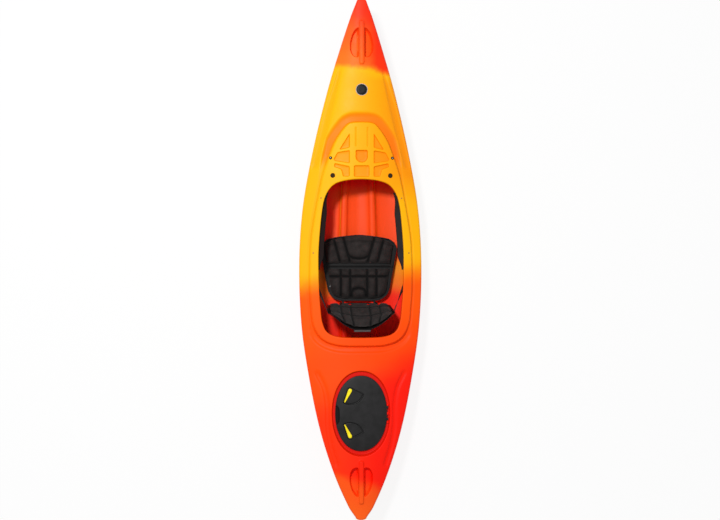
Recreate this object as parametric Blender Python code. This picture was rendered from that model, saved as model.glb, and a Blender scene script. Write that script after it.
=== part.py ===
"""Recreational sit-in kayak: a hollow moulded shell with its seat, thigh braces, foot braces and rear hatch.

Metres, +X starboard, +Y to the bow, +Z up. The keel rests on z = 0 under the middle of the boat.
"""

import math

import bmesh
import bpy
from mathutils import Matrix, Vector
from mathutils.geometry import delaunay_2d_cdt

# Hull and deck
LENGTH = 3.20
BEAM = 0.76
WALL = 0.005
GAP = 0.0003
BOW_TIP_HEIGHT = 0.335
STERN_TIP_HEIGHT = 0.300
SHEER_HEIGHT = 0.240
DECK_CROWN = 0.064
TUNNEL_HEIGHT = 0.036

# Cockpit
COCKPIT_LENGTH = 0.972
COCKPIT_WIDTH = 0.528
COCKPIT_MIDDLE_Y = 0.009
COAMING_WIDTH = 0.642
COAMING_RISE = 0.022
COAMING_SLOPE = 0.008
COAMING_LIP_DEPTH = 0.026
COAMING_LIP_WIDTH = 0.009

# Dashboard in front of the cockpit
DASH_LENGTH = 0.353
DASH_WIDTH = 0.562
CHANNEL_FRONT_WIDTH = 0.058
CHANNEL_SIDE_WIDTH = 0.010
CHANNEL_REAR_WIDTH = 0.038
CHANNEL_FRONT_DEPTH = 0.016
CHANNEL_SIDE_DEPTH = 0.003
CHANNEL_REAR_DEPTH = 0.010
POCKET_DEPTH = 0.014
POCKET_SLOPE = 0.004
CUP_RADIUS = 0.038
CUP_DEPTH = 0.020
SLOT_LENGTH = 0.070
SLOT_WIDTH = 0.095

# Carrying handles at both ends
HANDLE_LENGTH = 0.264
HANDLE_WIDTH = 0.034
HANDLE_RISE = 0.012
BOW_HANDLE_Y = 1.331
STERN_HANDLE_Y = -1.365
WELL_LENGTH = 0.185
WELL_WIDTH = 0.055
WELL_DEPTH = 0.046
FINGER_GAP = 0.028
FINGER_GAP_LENGTH = 0.115

# Rear hatch
HATCH_LENGTH = 0.464
HATCH_WIDTH = 0.320
HATCH_POWER = 2.12
HATCH_Y = -0.944
HATCH_MARGIN = 0.0155
HATCH_END_MARGIN = 0.024
HATCH_LEDGE = 0.028
HATCH_SEAT_DROP = 0.014

# Cover, latches and hinge of the rear hatch
GASKET_HEIGHT = 0.003
COVER_RIM = 0.010
COVER_CROWN = 0.010
COVER_PLUG_GAP = 0.004
LEVER_X = -0.068
LEVER_Y = 0.141
LEVER_LENGTH = 0.080
LEVER_HUB = 0.012
LEVER_TIP = 0.004
LEVER_THICKNESS = 0.006
LEVER_REST = math.radians(-115)
LEVER_SWEEP = math.radians(95)
RECESS_RADIUS = 0.088
RECESS_DEPTH = 0.011
CAM_LENGTH = 0.025
CAM_WIDTH = 0.016
CAM_THICKNESS = 0.004
SPINDLE_RADIUS = 0.006
HINGE_X = 0.1645
HINGE_HALF = 0.062
HINGE_RISE = 0.010
BARREL_RADIUS = 0.004
HINGE_PIN_RADIUS = 0.002

# Foam behind the seat and in the bow
BULKHEAD_Y = -0.62
BULKHEAD_THICKNESS = 0.045
PILLAR_REAR_Y = 0.90
PILLAR_LENGTH = 0.38
PILLAR_THICKNESS = 0.055

# Seat
SEAT_REAR_Y = -0.258
SEAT_LENGTH = 0.415
SEAT_REAR_WIDTH = 0.372
SEAT_FRONT_WIDTH = 0.486
SEAT_ARCH = 0.036
SEAT_FRONT_CORNER = 0.050
SEAT_REAR_CORNER = 0.080
SEAT_BOLT_X = 0.174
RUNNER_X = 0.175
RUNNER_WIDTH = 0.034
RUNNER_HEIGHT = 0.036
RUNNER_INSET = 0.015
RUNNER_REAR_INSET = 0.065
PAN_WALL = 0.004
PAN_RIM = 0.020
SEAT_SPLIT = 0.53
LIFTER_CLEARANCE = 0.012
PAD_THICKNESS = 0.040
PAD_CLEARANCE = 0.002

# Leg lifter under the front of the seat
LIFTER_PIN_RADIUS = 0.003
LIFTER_PIN_HEIGHT = 0.008
LIFTER_PLATE = 0.004
LIFTER_BARREL = 0.006
LUG_WIDTH = 0.010

# Backrest, its straps and their anchors
RECLINE = math.radians(24)
BACK_HEIGHT = 0.350
BACK_START = 0.020
BACK_WIDTH = 0.415
BACK_FOOT_TAPER = 0.04
BACK_TOP_TAPER = 0.16
BACK_WING = 0.090
BACK_PLATE = 0.004
BACK_PAD_THICKNESS = 0.036
BACK_PAD_SEAT = 0.0012
BACK_PIN_RADIUS = 0.004
BACK_PIN_BEHIND = 0.018
BACK_PIN_HEIGHT = 0.012
BACK_LUG_X = 0.100
STRAP_WIDTH = 0.025
STRAP_THICKNESS = 0.0015
ANCHOR_Y = 0.055
ANCHOR_Z = 0.200

# Thigh braces
BRACE_FRONT_Y = 0.415
BRACE_REAR_Y = -0.060
BRACE_PLATE = 0.004
BRACE_REACH = 0.034
BRACE_SIDE_GAP = 0.0015
BRACE_SCREW_INSET = 0.008
BRACE_SCREWS_Y = (0.380, 0.043)
BRACE_CLEARANCE = 0.0010
BRACE_PAD = 0.010
BRACE_RINGS = 14

# Plugs, fittings and badge on the deck
PLUG_X = 0.177
PLUG_AHEAD = 0.022
FITTING_X = 0.190
FITTING_AHEAD = 0.130
BADGE_RADIUS = 0.037
BADGE_Y = 1.042

# Foot braces
RAIL_Y = 0.76
RAIL_LENGTH = 0.40
RAIL_Z = 0.125
RAIL_THICKNESS = 0.014
RAIL_HEIGHT = 0.026
RAIL_STANDOFF = 0.012
PEDAL_WIDTH = 0.085
PEDAL_HEIGHT = 0.120
PEDAL_THICKNESS = 0.014
CARRIAGE_LENGTH = 0.075
CARRIAGE_THICKNESS = 0.012
TRIGGER_START = -0.0205

# Half outline of the gunwale: share of the half length forward of amidships, share of the half beam
OUTLINE = (
    (-0.99, 0.089), (-0.95, 0.202), (-0.82, 0.442), (-0.65, 0.668), (-0.45, 0.843), (-0.25, 0.963),
    (-0.02, 1.0), (0.2, 0.943), (0.42, 0.779), (0.65, 0.545), (0.807, 0.348), (0.93, 0.178), (0.99, 0.08),
)
# Half section amidships and at the fine ends: share of the half breadth, share of the depth
MIDDLE_SECTION = (
    (1.0, 1.0), (0.996, 0.8), (0.978, 0.58), (0.935, 0.36), (0.86, 0.17), (0.745, 0.05), (0.60, 0.0),
    (0.42, 0.0), (0.345, 0.04), (0.305, None), (0.205, None), (0.17, 0.06), (0.03, 0.0), (0.0, 0.0),
)
END_SECTION = (
    (1.0, 1.0), (0.94, 0.85), (0.84, 0.66), (0.71, 0.47), (0.57, 0.31), (0.45, 0.2), (0.35, 0.125),
    (0.27, 0.08), (0.22, 0.058), (0.175, 0.042), (0.13, 0.028), (0.09, 0.015), (0.03, 0.0), (0.0, 0.0),
)
STATIONS = (
    0.04, 0.12, 0.2, 0.28, 0.36, 0.44, 0.52, 0.6, 0.68, 0.75, 0.81, 0.86, 0.9, 0.935, 0.963, 0.982, 0.993,
)
# Height of the deck's centre line over the gunwale, as a share of the crown
CROWN_LINE = (
    (-1.0, 0.0), (-0.9, 0.3), (-0.7, 0.62), (-0.4, 0.7), (0.0, 0.95), (0.35, 1.12), (0.6, 1.0), (0.85, 0.55),
    (1.0, 0.0),
)
CROWN_POWER = 2.3
FINE_FROM = 0.42
FINE_TO = 0.92
STEM_FROM = 0.5
STEM_POWER = 9
CAVITY_END = 0.93

# Cockpit opening, front to rear: share of the half width, share of the length from the rear
COCKPIT_SHAPE = (
    (0.0, 1.0), (0.379, 0.991), (0.644, 0.965), (0.811, 0.908), (0.90, 0.826), (0.960, 0.68), (0.996, 0.522),
    (0.985, 0.332), (0.955, 0.206), (0.905, 0.098), (0.79, 0.035), (0.53, 0.006), (0.0, 0.0),
)
# Outer foot of the coaming behind the dashboard, in the same shares but of its own half width
COAMING_SHAPE = (
    (0.9465, 0.685), (0.990, 0.524), (1.0, 0.3315), (0.977, 0.201), (0.933, 0.080), (0.77, -0.0107),
    (0.465, -0.053), (0.0, -0.0597),
)
# Dashboard arch: share of the dashboard's half width, share of its length from the opening
DASH_ARCH = ((0.0, 1.0), (0.263, 0.981), (0.416, 0.87), (0.59, 0.661), (0.7, 0.45), (0.81, 0.2), (0.9, -0.07))
# Dashboard pockets on the starboard side, in the same shares
DASH_POCKETS = (
    ((0.262, 0.793), (0.491, 0.504), (0.262, 0.541)),
    ((0.262, 0.496), (0.527, 0.462), (0.612, 0.340), (0.590, 0.314), (0.262, 0.269)),
    ((0.262, 0.218), (0.590, 0.275), (0.601, 0.210), (0.448, 0.167), (0.406, 0.042), (0.262, 0.042)),
)
# Half of the area under all the pockets, which the hollow keeps clear of
DASH_ZONE = (
    (0.0, 0.83), (0.3, 0.83), (0.52, 0.53), (0.66, 0.34), (0.66, 0.17), (0.5, 0.13), (0.46, 0.02), (0.0, 0.02),
)
CUP_PLACE = 0.392
SLOT_PLACE = 0.136
DECK_SPACING = 0.075


def clamp(value, low=0.0, high=1.0):
    return max(low, min(high, value))


def smooth(value):
    value = clamp(value)
    return value * value * (3 - 2 * value)


def mix(a, b, share):
    return a + (b - a) * share


def through(table, at):
    """Smooth curve through a table of (position, value), read at one position."""
    if at <= table[0][0]:
        return table[0][1]
    if at >= table[-1][0]:
        return table[-1][1]
    index = max(i for i in range(len(table) - 1) if table[i][0] <= at)

    def slope(i):
        low, high = max(i - 1, 0), min(i + 1, len(table) - 1)
        return (table[high][1] - table[low][1]) / (table[high][0] - table[low][0])

    (x0, v0), (x1, v1) = table[index], table[index + 1]
    span = x1 - x0
    s = (at - x0) / span
    return (
        (1 + 2 * s) * (1 - s) ** 2 * v0
        + s * (1 - s) ** 2 * span * slope(index)
        + s * s * (3 - 2 * s) * v1
        + s * s * (s - 1) * span * slope(index + 1)
    )


def half_breadth(y):
    """Half breadth of the boat at the gunwale."""
    share = 2 * y / LENGTH
    last = OUTLINE[-1] if share > 0 else OUTLINE[0]
    if abs(share) >= abs(last[0]):
        past = clamp((abs(share) - abs(last[0])) / (1 - abs(last[0])))
        return BEAM / 2 * last[1] * math.sqrt(1 - past * past)
    return BEAM / 2 * through(OUTLINE, share)


def gunwale_z(y):
    share = 2 * y / LENGTH
    tip = BOW_TIP_HEIGHT if share > 0 else STERN_TIP_HEIGHT
    return SHEER_HEIGHT + (tip - SHEER_HEIGHT) * abs(share) ** 2.2


def keel_z(y):
    tip = BOW_TIP_HEIGHT if y > 0 else STERN_TIP_HEIGHT
    return tip * clamp((abs(2 * y / LENGTH) - STEM_FROM) / (1 - STEM_FROM)) ** STEM_POWER


def crown_z(y):
    """Height of the deck's centre line over the gunwale."""
    return DECK_CROWN * through(CROWN_LINE, 2 * y / LENGTH)


def deck_z(x, y):
    """Height of the plain deck, before the raised and sunk forms."""
    across = clamp(abs(x) / max(half_breadth(y), 1e-6))
    return gunwale_z(y) + crown_z(y) * (1 - across**CROWN_POWER)


def section(y, skin):
    """Half section of the hull from the gunwale down to the keel, as (x, z). skin is the wall inside it."""
    end = smooth((abs(2 * y / LENGTH) - FINE_FROM) / (FINE_TO - FINE_FROM))
    breadth = half_breadth(y) - 1.3 * skin
    top = gunwale_z(y) - 0.6 * skin
    bottom = keel_z(y) + skin * (1 + 2 * end)
    points = []
    for (x_middle, z_middle), (x_end, z_end) in zip(MIDDLE_SECTION, END_SECTION):
        if z_middle is None:
            z_middle = TUNNEL_HEIGHT / SHEER_HEIGHT
        x = breadth * mix(x_middle, x_end, end)
        points.append((x, bottom + (top - bottom) * mix(z_middle, z_end, end)))
    return points


def floor_z(x, y, skin=WALL):
    """Height of the hull's inner face at a place on the floor."""
    points = section(y, skin)
    for (x1, z1), (x0, z0) in zip(points, points[1:]):
        if x0 <= abs(x) <= x1:
            return mix(z0, z1, (abs(x) - x0) / max(x1 - x0, 1e-9))
    return points[0][1]


def side_x(y, z, skin=WALL):
    """Half breadth of the hull's inner face at a height on the side."""
    points = section(y, skin)
    for (x1, z1), (x0, z0) in zip(points, points[1:]):
        if z0 <= z <= z1:
            return mix(x0, x1, (z - z0) / max(z1 - z0, 1e-9))
    return points[0][0]


def smooth_loop(half, count):
    """Closed loop through a half outline that runs from the front to the rear of the centre line."""
    controls = [Vector(p) for p in half] + [Vector((-x, y)) for x, y in half[-2:0:-1]]
    total = len(controls)
    dense = []
    for i in range(total):
        p0, p1, p2, p3 = (controls[(i + k) % total] for k in (-1, 0, 1, 2))
        for step in range(8):
            s = step / 8
            dense.append(
                0.5 * (2 * p1 + (p2 - p0) * s + (2 * p0 - 5 * p1 + 4 * p2 - p3) * s * s
                       + (3 * p1 - p0 - 3 * p2 + p3) * s**3)
            )
    return even_loop(dense, count)


def even_loop(dense, count):
    """The same closed loop with its points at even distances, the first one kept."""
    lengths = [0.0]
    for a, b in zip(dense, dense[1:] + dense[:1]):
        lengths.append(lengths[-1] + (b - a).length)
    result = []
    index = 0
    for i in range(count):
        target = lengths[-1] * i / count
        while lengths[index + 1] < target:
            index += 1
        s = (target - lengths[index]) / (lengths[index + 1] - lengths[index])
        result.append(dense[index].lerp(dense[(index + 1) % len(dense)], s))
    return result


def turned_area(loop):
    return sum(a.x * b.y - b.x * a.y for a, b in zip(loop, loop[1:] + loop[:1])) / 2


def offset(loop, distance):
    """The closed loop moved outwards. distance is a number or a function of y."""
    sign = 1 if turned_area(loop) > 0 else -1
    result = []
    for i, point in enumerate(loop):
        before = (point - loop[i - 1]).normalized()
        after = (loop[(i + 1) % len(loop)] - point).normalized()
        normal = Vector((before.y + after.y, -before.x - after.x)) * sign
        normal /= max(1 + before.dot(after), 0.3)
        amount = distance(point.y) if callable(distance) else distance
        result.append(point + normal * amount)
    return result


def oval(middle_y, length, width, power, count):
    loop = []
    for i in range(count * 4):
        angle = math.tau * i / (count * 4)
        c, s = math.sin(angle), math.cos(angle)
        loop.append(
            Vector(
                (
                    width / 2 * math.copysign(abs(c) ** (2 / power), c),
                    middle_y + length / 2 * math.copysign(abs(s) ** (2 / power), s),
                )
            )
        )
    return even_loop(loop, count)


def inside(loop, x, y):
    found = False
    for a, b in zip(loop, loop[1:] + loop[:1]):
        if (a.y > y) != (b.y > y) and x < a.x + (y - a.y) * (b.x - a.x) / (b.y - a.y):
            found = not found
    return found


# Shapes seen from above that several pieces share
COCKPIT_FRONT_Y = COCKPIT_MIDDLE_Y + COCKPIT_LENGTH / 2
COCKPIT_REAR_Y = COCKPIT_MIDDLE_Y - COCKPIT_LENGTH / 2


def cockpit_loop(count=56):
    return smooth_loop(
        [(x * COCKPIT_WIDTH / 2, COCKPIT_REAR_Y + y * COCKPIT_LENGTH) for x, y in COCKPIT_SHAPE], count
    )


def dash_place(x, y):
    return Vector((x * DASH_WIDTH / 2, COCKPIT_FRONT_Y + y * DASH_LENGTH))


def coaming_loop(count=64):
    """Outer foot of the raised coaming and dashboard."""
    half = [tuple(dash_place(x, y)) for x, y in DASH_ARCH]
    half += [(x * COAMING_WIDTH / 2, COCKPIT_REAR_Y + y * COCKPIT_LENGTH) for x, y in COAMING_SHAPE]
    return smooth_loop(half, count)


def channel_share(y):
    """How much of the front channel is there: all of it round the arch, none beside the cockpit."""
    return smooth((y - COCKPIT_FRONT_Y - 0.05) / 0.11)


def rear_share(y):
    return smooth((COCKPIT_REAR_Y + 0.09 - y) / 0.1)


def channel_width(y):
    front = clamp((y - COCKPIT_FRONT_Y) / 0.25)
    width = mix(CHANNEL_SIDE_WIDTH, CHANNEL_FRONT_WIDTH, front)
    return mix(width, CHANNEL_REAR_WIDTH, rear_share(y))


def channel_depth(y):
    depth = mix(CHANNEL_SIDE_DEPTH, CHANNEL_FRONT_DEPTH, channel_share(y))
    return mix(depth, CHANNEL_REAR_DEPTH, rear_share(y))


def hatch_seat_z():
    """The flat ledge that the hatch cover's gasket lies on."""
    return deck_z(HATCH_WIDTH / 2 + HATCH_MARGIN, HATCH_Y) - HATCH_SEAT_DROP


def hatch_loop(grow, count=40):
    return oval(HATCH_Y, HATCH_LENGTH + 2 * grow, HATCH_WIDTH + 2 * grow, HATCH_POWER, count)


def hatch_recess(grow):
    """Outline of the recess that the cover lies in."""
    length = HATCH_LENGTH + 2 * (HATCH_END_MARGIN + grow)
    return oval(HATCH_Y, length, HATCH_WIDTH + 2 * (HATCH_MARGIN + grow), HATCH_POWER, 40)


def well_loop(handle_y, side):
    """One finger well beside a carrying handle."""
    inner = HANDLE_WIDTH / 2
    half = WELL_LENGTH / 2
    outline = [
        (inner, half), (inner + 0.3 * WELL_WIDTH, 0.93 * half), (inner + 0.72 * WELL_WIDTH, 0.6 * half),
        (inner + WELL_WIDTH, 0.0), (inner + 0.97 * WELL_WIDTH, -0.6 * half),
        (inner + 0.6 * WELL_WIDTH, -0.95 * half), (inner, -half),
    ]
    toward_end = math.copysign(1, handle_y)
    return [Vector((side * x, handle_y + toward_end * y)) for x, y in outline]


def deck_forms(skin):
    """Loops of the deck's raised and sunk forms as (loop, z of a point), and floors as (loop, z of a point)."""
    coaming = offset(coaming_loop(), -skin)
    top = offset(coaming, -COAMING_SLOPE)
    channel = [p + (q - p) * 0.68 for p, q in zip(coaming, offset(coaming, channel_width))]
    bank = offset(coaming, lambda y: channel_width(y) + skin)

    def plain(x, y):
        return deck_z(x, y) - skin

    def raised(x, y):
        return plain(x, y) + COAMING_RISE

    def sunk(x, y):
        return plain(x, y) - channel_depth(y)

    def ledge(x, y):
        return hatch_seat_z() - skin

    def bar_top(x, y):
        return plain(x, y) + HANDLE_RISE

    def well_floor(x, y):
        return plain(x, y) - WELL_DEPTH

    def pocket_floor(depth):
        return lambda x, y: raised(x, y) - depth

    loops = [(top, raised), (coaming, sunk), (channel, sunk), (bank, plain)]
    floors = [(top, raised)]

    hatch_top = hatch_recess(0.006 + skin)
    hatch_floor = hatch_recess(skin)
    loops += [(hatch_top, plain), (hatch_floor, ledge)]
    floors.insert(0, (hatch_floor, ledge))

    for handle_y in (BOW_HANDLE_Y, STERN_HANDLE_Y):
        if skin:
            half = well_loop(handle_y, 1)
            zone = half + [Vector((-p.x, p.y)) for p in reversed(half)]
            loops += [(offset(zone, skin + 0.002), plain), (offset(zone, skin), well_floor)]
            floors.insert(0, (offset(zone, skin), well_floor))
            continue
        bar = [
            Vector((x * (HANDLE_WIDTH / 2 - 0.005), handle_y + y * HANDLE_LENGTH / 2))
            for x, y in ((1, 0.94), (0, 1), (-1, 0.94), (-1, -0.94), (0, -1), (1, -0.94))
        ]
        loops += [(bar, bar_top), (offset(bar, 0.0045), plain)]
        floors.insert(0, (bar, bar_top))
        for side in (1, -1):
            well = well_loop(handle_y, side)
            floor = offset(well, -0.009)
            loops += [(well, plain), (floor, well_floor)]
            floors.insert(0, (floor, well_floor))

    if skin:
        zone = [dash_place(x, y) for x, y in DASH_ZONE]
        zone += [dash_place(-x, y) for x, y in DASH_ZONE[-2:0:-1]]
        loops += [(zone, raised), (offset(zone, -0.003), pocket_floor(CUP_DEPTH))]
        floors.insert(0, (offset(zone, -0.003), pocket_floor(CUP_DEPTH)))
        lip = offset(cockpit_loop(), COAMING_LIP_WIDTH)
        under = offset(cockpit_loop(), COAMING_LIP_WIDTH - 0.003)
        loops += [(lip, raised), (under, pocket_floor(COAMING_LIP_DEPTH))]
        floors.insert(0, (under, pocket_floor(COAMING_LIP_DEPTH)))
        return loops, floors

    def pocket(loop, depth):
        floor = offset(loop, -POCKET_SLOPE)
        loops.extend([(loop, raised), (floor, pocket_floor(depth))])
        floors.insert(0, (floor, pocket_floor(depth)))

    for shape in DASH_POCKETS:
        for side in (1, -1):
            pocket([dash_place(side * x, y) for x, y in shape], POCKET_DEPTH)
    cup_y = COCKPIT_FRONT_Y + CUP_PLACE * DASH_LENGTH
    cup = [
        Vector((CUP_RADIUS * math.sin(a), cup_y - CUP_RADIUS * math.cos(a)))
        for a in [math.tau * i / 20 for i in range(-6, 7)]
    ]
    cup += [Vector((CUP_RADIUS, cup_y + CUP_RADIUS)), Vector((-CUP_RADIUS, cup_y + CUP_RADIUS))]
    pocket(cup, CUP_DEPTH)
    slot_y = COCKPIT_FRONT_Y + SLOT_PLACE * DASH_LENGTH
    slot = [
        Vector((x * SLOT_WIDTH / 2, slot_y + y * SLOT_LENGTH / 2))
        for x, y in ((1, 1), (-1, 1), (-1, -1), (1, -1))
    ]
    pocket(slot, POCKET_DEPTH)
    return loops, floors


def outward(bm):
    """Turns the faces of a closed body outwards."""
    bm.normal_update()
    bmesh.ops.recalc_face_normals(bm, faces=bm.faces)
    if bm.calc_volume(signed=True) < 0:
        bmesh.ops.reverse_faces(bm, faces=bm.faces)


def shell_body(skin):
    """Closed body of the hull and deck. With a skin it is the hollow inside that wall, short of the solid tips."""
    limit = 1.0 if not skin else CAVITY_END
    shares = sorted({s for s in STATIONS if s < limit} | {limit})
    stations = [-s * LENGTH / 2 for s in reversed(shares)] + [s * LENGTH / 2 for s in shares]
    sections = [section(y, skin) for y in stations]
    pointed = limit == 1.0

    rim = []
    rim_index = {}
    for side in (1, -1):
        order = range(len(stations)) if side == 1 else reversed(range(len(stations)))
        for i in order:
            if pointed and i in (0, len(stations) - 1):
                if side == -1:
                    rim_index[i, side] = rim_index[i, 1]
                    continue
                place = Vector((0.0, stations[i]))
            else:
                place = Vector((side * sections[i][0][0], stations[i]))
            rim_index[i, side] = len(rim)
            rim.append(place)
    heights = [gunwale_z(p.y) - 0.6 * skin for p in rim]
    points = list(rim)
    edges = [(i, (i + 1) % len(rim)) for i in range(len(rim))]

    loops, floors = deck_forms(skin)
    for loop, height in loops:
        first = len(points)
        points += loop
        heights += [height(p.x, p.y) for p in loop]
        edges += [(first + i, first + (i + 1) % len(loop)) for i in range(len(loop))]

    def height_at(x, y):
        for floor, height in floors:
            if inside(floor, x, y):
                return height(x, y)
        return deck_z(x, y) - skin

    fixed = list(points)
    rows = int(LENGTH / DECK_SPACING)
    for row in range(-rows // 2, rows // 2 + 1):
        y = row * DECK_SPACING
        reach = int(half_breadth(y) / DECK_SPACING)
        for column in range(-reach, reach + 1):
            place = Vector((column * DECK_SPACING, y))
            if not inside(rim, place.x, place.y):
                continue
            if min((place - p).length for p in fixed) < 0.4 * DECK_SPACING:
                continue
            points.append(place)
            heights.append(height_at(place.x, place.y))

    verts, _, faces, origins, _, _ = delaunay_2d_cdt(points, edges, [], 0, 1e-7)
    bm = bmesh.new()
    made = []
    of_rim = {}
    for place, source in zip(verts, origins):
        z = heights[source[0]] if source else height_at(place.x, place.y)
        vert = bm.verts.new((place.x, place.y, z))
        made.append(vert)
        for index in source:
            if index < len(rim):
                of_rim[index] = vert
    for face in faces:
        centre = sum((verts[i] for i in face), Vector((0, 0))) / 3
        if inside(rim, centre.x, centre.y):
            bm.faces.new([made[i] for i in face])

    rows = {}
    for i, y in enumerate(stations):
        if pointed and i in (0, len(stations) - 1):
            continue
        for side in (1, -1):
            row = [of_rim[rim_index[i, side]]]
            for x, z in sections[i][1:-1]:
                row.append(bm.verts.new((side * x, y, z)))
            rows[i, side] = row
        keel = bm.verts.new((0, y, sections[i][-1][1]))
        rows[i, 1].append(keel)
        rows[i, -1].append(keel)
    last = len(stations) - 1
    for side in (1, -1):
        for i in range(last):
            if (i, side) in rows and (i + 1, side) in rows:
                row, after = rows[i, side], rows[i + 1, side]
                for a, b, c, d in zip(row, row[1:], after[1:], after):
                    bm.faces.new((a, b, c, d))
        if pointed:
            for tip, near in ((0, 1), (last, last - 1)):
                for a, b in zip(rows[near, side], rows[near, side][1:]):
                    bm.faces.new((of_rim[rim_index[tip, side]], a, b))
    if not pointed:
        for i in (0, last):
            bm.faces.new(rows[i, 1] + rows[i, -1][-2::-1])
    outward(bm)
    bmesh.ops.triangulate(bm, faces=bm.faces)
    return bm


# Making objects

MATERIALS = {}


def material(name, colour, roughness, metallic=0.0):
    if name not in MATERIALS:
        made = bpy.data.materials.new(name)
        made.use_nodes = True
        shader = made.node_tree.nodes["Principled BSDF"]
        shader.inputs["Base Color"].default_value = (*colour, 1.0)
        shader.inputs["Roughness"].default_value = roughness
        shader.inputs["Metallic"].default_value = metallic
        made.diffuse_color = (*colour, 1.0)
        MATERIALS[name] = made
    return MATERIALS[name]


def add(name, bm, finish, smooth_angle=35):
    mesh = bpy.data.meshes.new(name)
    bm.to_mesh(mesh)
    bm.free()
    mesh.shade_smooth()
    mesh.set_sharp_from_angle(angle=math.radians(smooth_angle))
    obj = bpy.data.objects.new(name, mesh)
    bpy.context.scene.collection.objects.link(obj)
    obj.data.materials.append(finish)
    return obj


def helper(name, bm):
    """A cutter or guide that isn't a piece of the boat."""
    obj = add(name, bm, material("cutter", (0.5, 0.5, 0.5), 0.5))
    obj.hide_render = True
    obj.display_type = "WIRE"
    return obj


def boolean(obj, other, operation="DIFFERENCE"):
    modifier = obj.modifiers.new(other.name, "BOOLEAN")
    modifier.operation = operation
    modifier.object = other
    modifier.solver = "EXACT"
    return modifier


def prism(loop, low, high):
    """Upright prism over a closed loop."""
    bm = bmesh.new()
    face = bm.faces.new([bm.verts.new((p.x, p.y, low)) for p in loop])
    raised = bmesh.ops.extrude_face_region(bm, geom=[face])["geom"]
    lifted = [v for v in raised if isinstance(v, bmesh.types.BMVert)]
    bmesh.ops.translate(bm, vec=(0, 0, high - low), verts=lifted)
    outward(bm)
    return bm


def block(low, high):
    bm = bmesh.new()
    bmesh.ops.create_cube(bm, size=1.0)
    size = Vector(high) - Vector(low)
    bmesh.ops.scale(bm, vec=size, verts=bm.verts)
    bmesh.ops.translate(bm, vec=Vector(low) + size / 2, verts=bm.verts)
    return bm


def turned(profile, steps=24):
    """Body turned about Z from a profile of (radius, height) that starts and ends on the axis."""
    bm = bmesh.new()
    verts = [bm.verts.new((radius, 0, height)) for radius, height in profile]
    edges = [bm.edges.new(pair) for pair in zip(verts, verts[1:])]
    bmesh.ops.spin(
        bm, geom=verts + edges, cent=(0, 0, 0), axis=(0, 0, 1), angle=math.tau, steps=steps, use_merge=True
    )
    bmesh.ops.remove_doubles(bm, verts=bm.verts, dist=1e-6)
    outward(bm)
    return bm


def rod(radius, half, steps):
    """Round bar about Z, as far above the origin as below it."""
    return turned([(0, half), (radius, half), (radius, -half), (0, -half)], steps)


def stand(bm, point, direction=(0, 0, 1)):
    """Moves a body built about Z so that its Z axis points along a direction from a point."""
    turn = Vector(direction).normalized().to_track_quat("Z", "Y").to_matrix().to_4x4()
    bm.transform(Matrix.Translation(Vector(point)) @ turn)
    return bm


def joined(*bodies):
    """Separate or overlapping closed bodies in one mesh, for a cutter or before a union."""
    whole = bodies[0]
    for body in bodies[1:]:
        mesh = bpy.data.meshes.new("joined")
        body.to_mesh(mesh)
        body.free()
        whole.from_mesh(mesh)
        bpy.data.meshes.remove(mesh)
    return whole


def sweep(rings):
    """Closed body through rings of as many points each, with flat ends."""
    bm = bmesh.new()
    made = [[bm.verts.new(point) for point in ring] for ring in rings]
    for ring, after in zip(made, made[1:]):
        for i in range(len(ring)):
            j = (i + 1) % len(ring)
            bm.faces.new((ring[i], ring[j], after[j], after[i]))
    bm.faces.new(made[0])
    bm.faces.new(made[-1])
    outward(bm)
    bmesh.ops.triangulate(bm, faces=bm.faces)
    return bm


CUTS = {}


def cut_later(target, body):
    """Keeps a cutter for a target piece. Those of one piece are cut together at the end."""
    CUTS.setdefault(target, []).append(body)


def fastener(name, point, axis, head, shank, finish, targets, spot=0.0):
    """Screw or plug: head and shank are (radius, length). Its seat is cut spot deep into the first target."""
    (head_radius, head_height), (shank_radius, shank_length) = head, shank
    seat = Vector(point) - Vector(axis).normalized() * spot
    body = turned(
        [
            (0, GAP + head_height), (0.6 * head_radius, GAP + 0.9 * head_height),
            (head_radius, GAP + 0.45 * head_height), (head_radius, GAP), (shank_radius, GAP),
            (shank_radius, -shank_length), (0, -shank_length),
        ],
        16,
    )
    add(name, stand(body, seat, axis), finish)
    for target in targets:
        narrow = shank_radius + 2 * GAP
        profile = [(0, 0.012), (narrow, 0.012)]
        if target == targets[0] and spot:
            wide = head_radius + 2 * GAP
            profile = [(0, 0.012), (wide, 0.012), (wide, 0), (narrow, 0)]
        profile += [(narrow, -shank_length - 2 * GAP), (0, -shank_length - 2 * GAP)]
        cut_later(target, stand(turned(profile, 16), seat, axis))


def coaming_top(x, y):
    """Point and normal of the raised coaming or dashboard."""
    step = 0.004
    slope_x = (deck_z(x + step, y) - deck_z(x - step, y)) / (2 * step)
    slope_y = (deck_z(x, y + step) - deck_z(x, y - step)) / (2 * step)
    return Vector((x, y, deck_z(x, y) + COAMING_RISE)), Vector((-slope_x, -slope_y, 1)).normalized()


def loop_x(loop, y):
    """Half width of a loop that runs from its front over starboard."""
    right = [p for p in loop if p.x > 0]
    for a, b in zip(right, right[1:]):
        if b.y <= y <= a.y:
            return mix(b.x, a.x, (y - b.y) / max(a.y - b.y, 1e-9))
    return 0.0


def opening_x(y):
    """Half width of the cockpit opening."""
    return loop_x(cockpit_loop(80), y)


def brace_limit_x(y):
    """Outer edge of a brace's flange, which fills the hollow under the coaming."""
    return loop_x(offset(coaming_loop(80), -WALL - COAMING_SLOPE), y) - BRACE_SIDE_GAP


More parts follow.
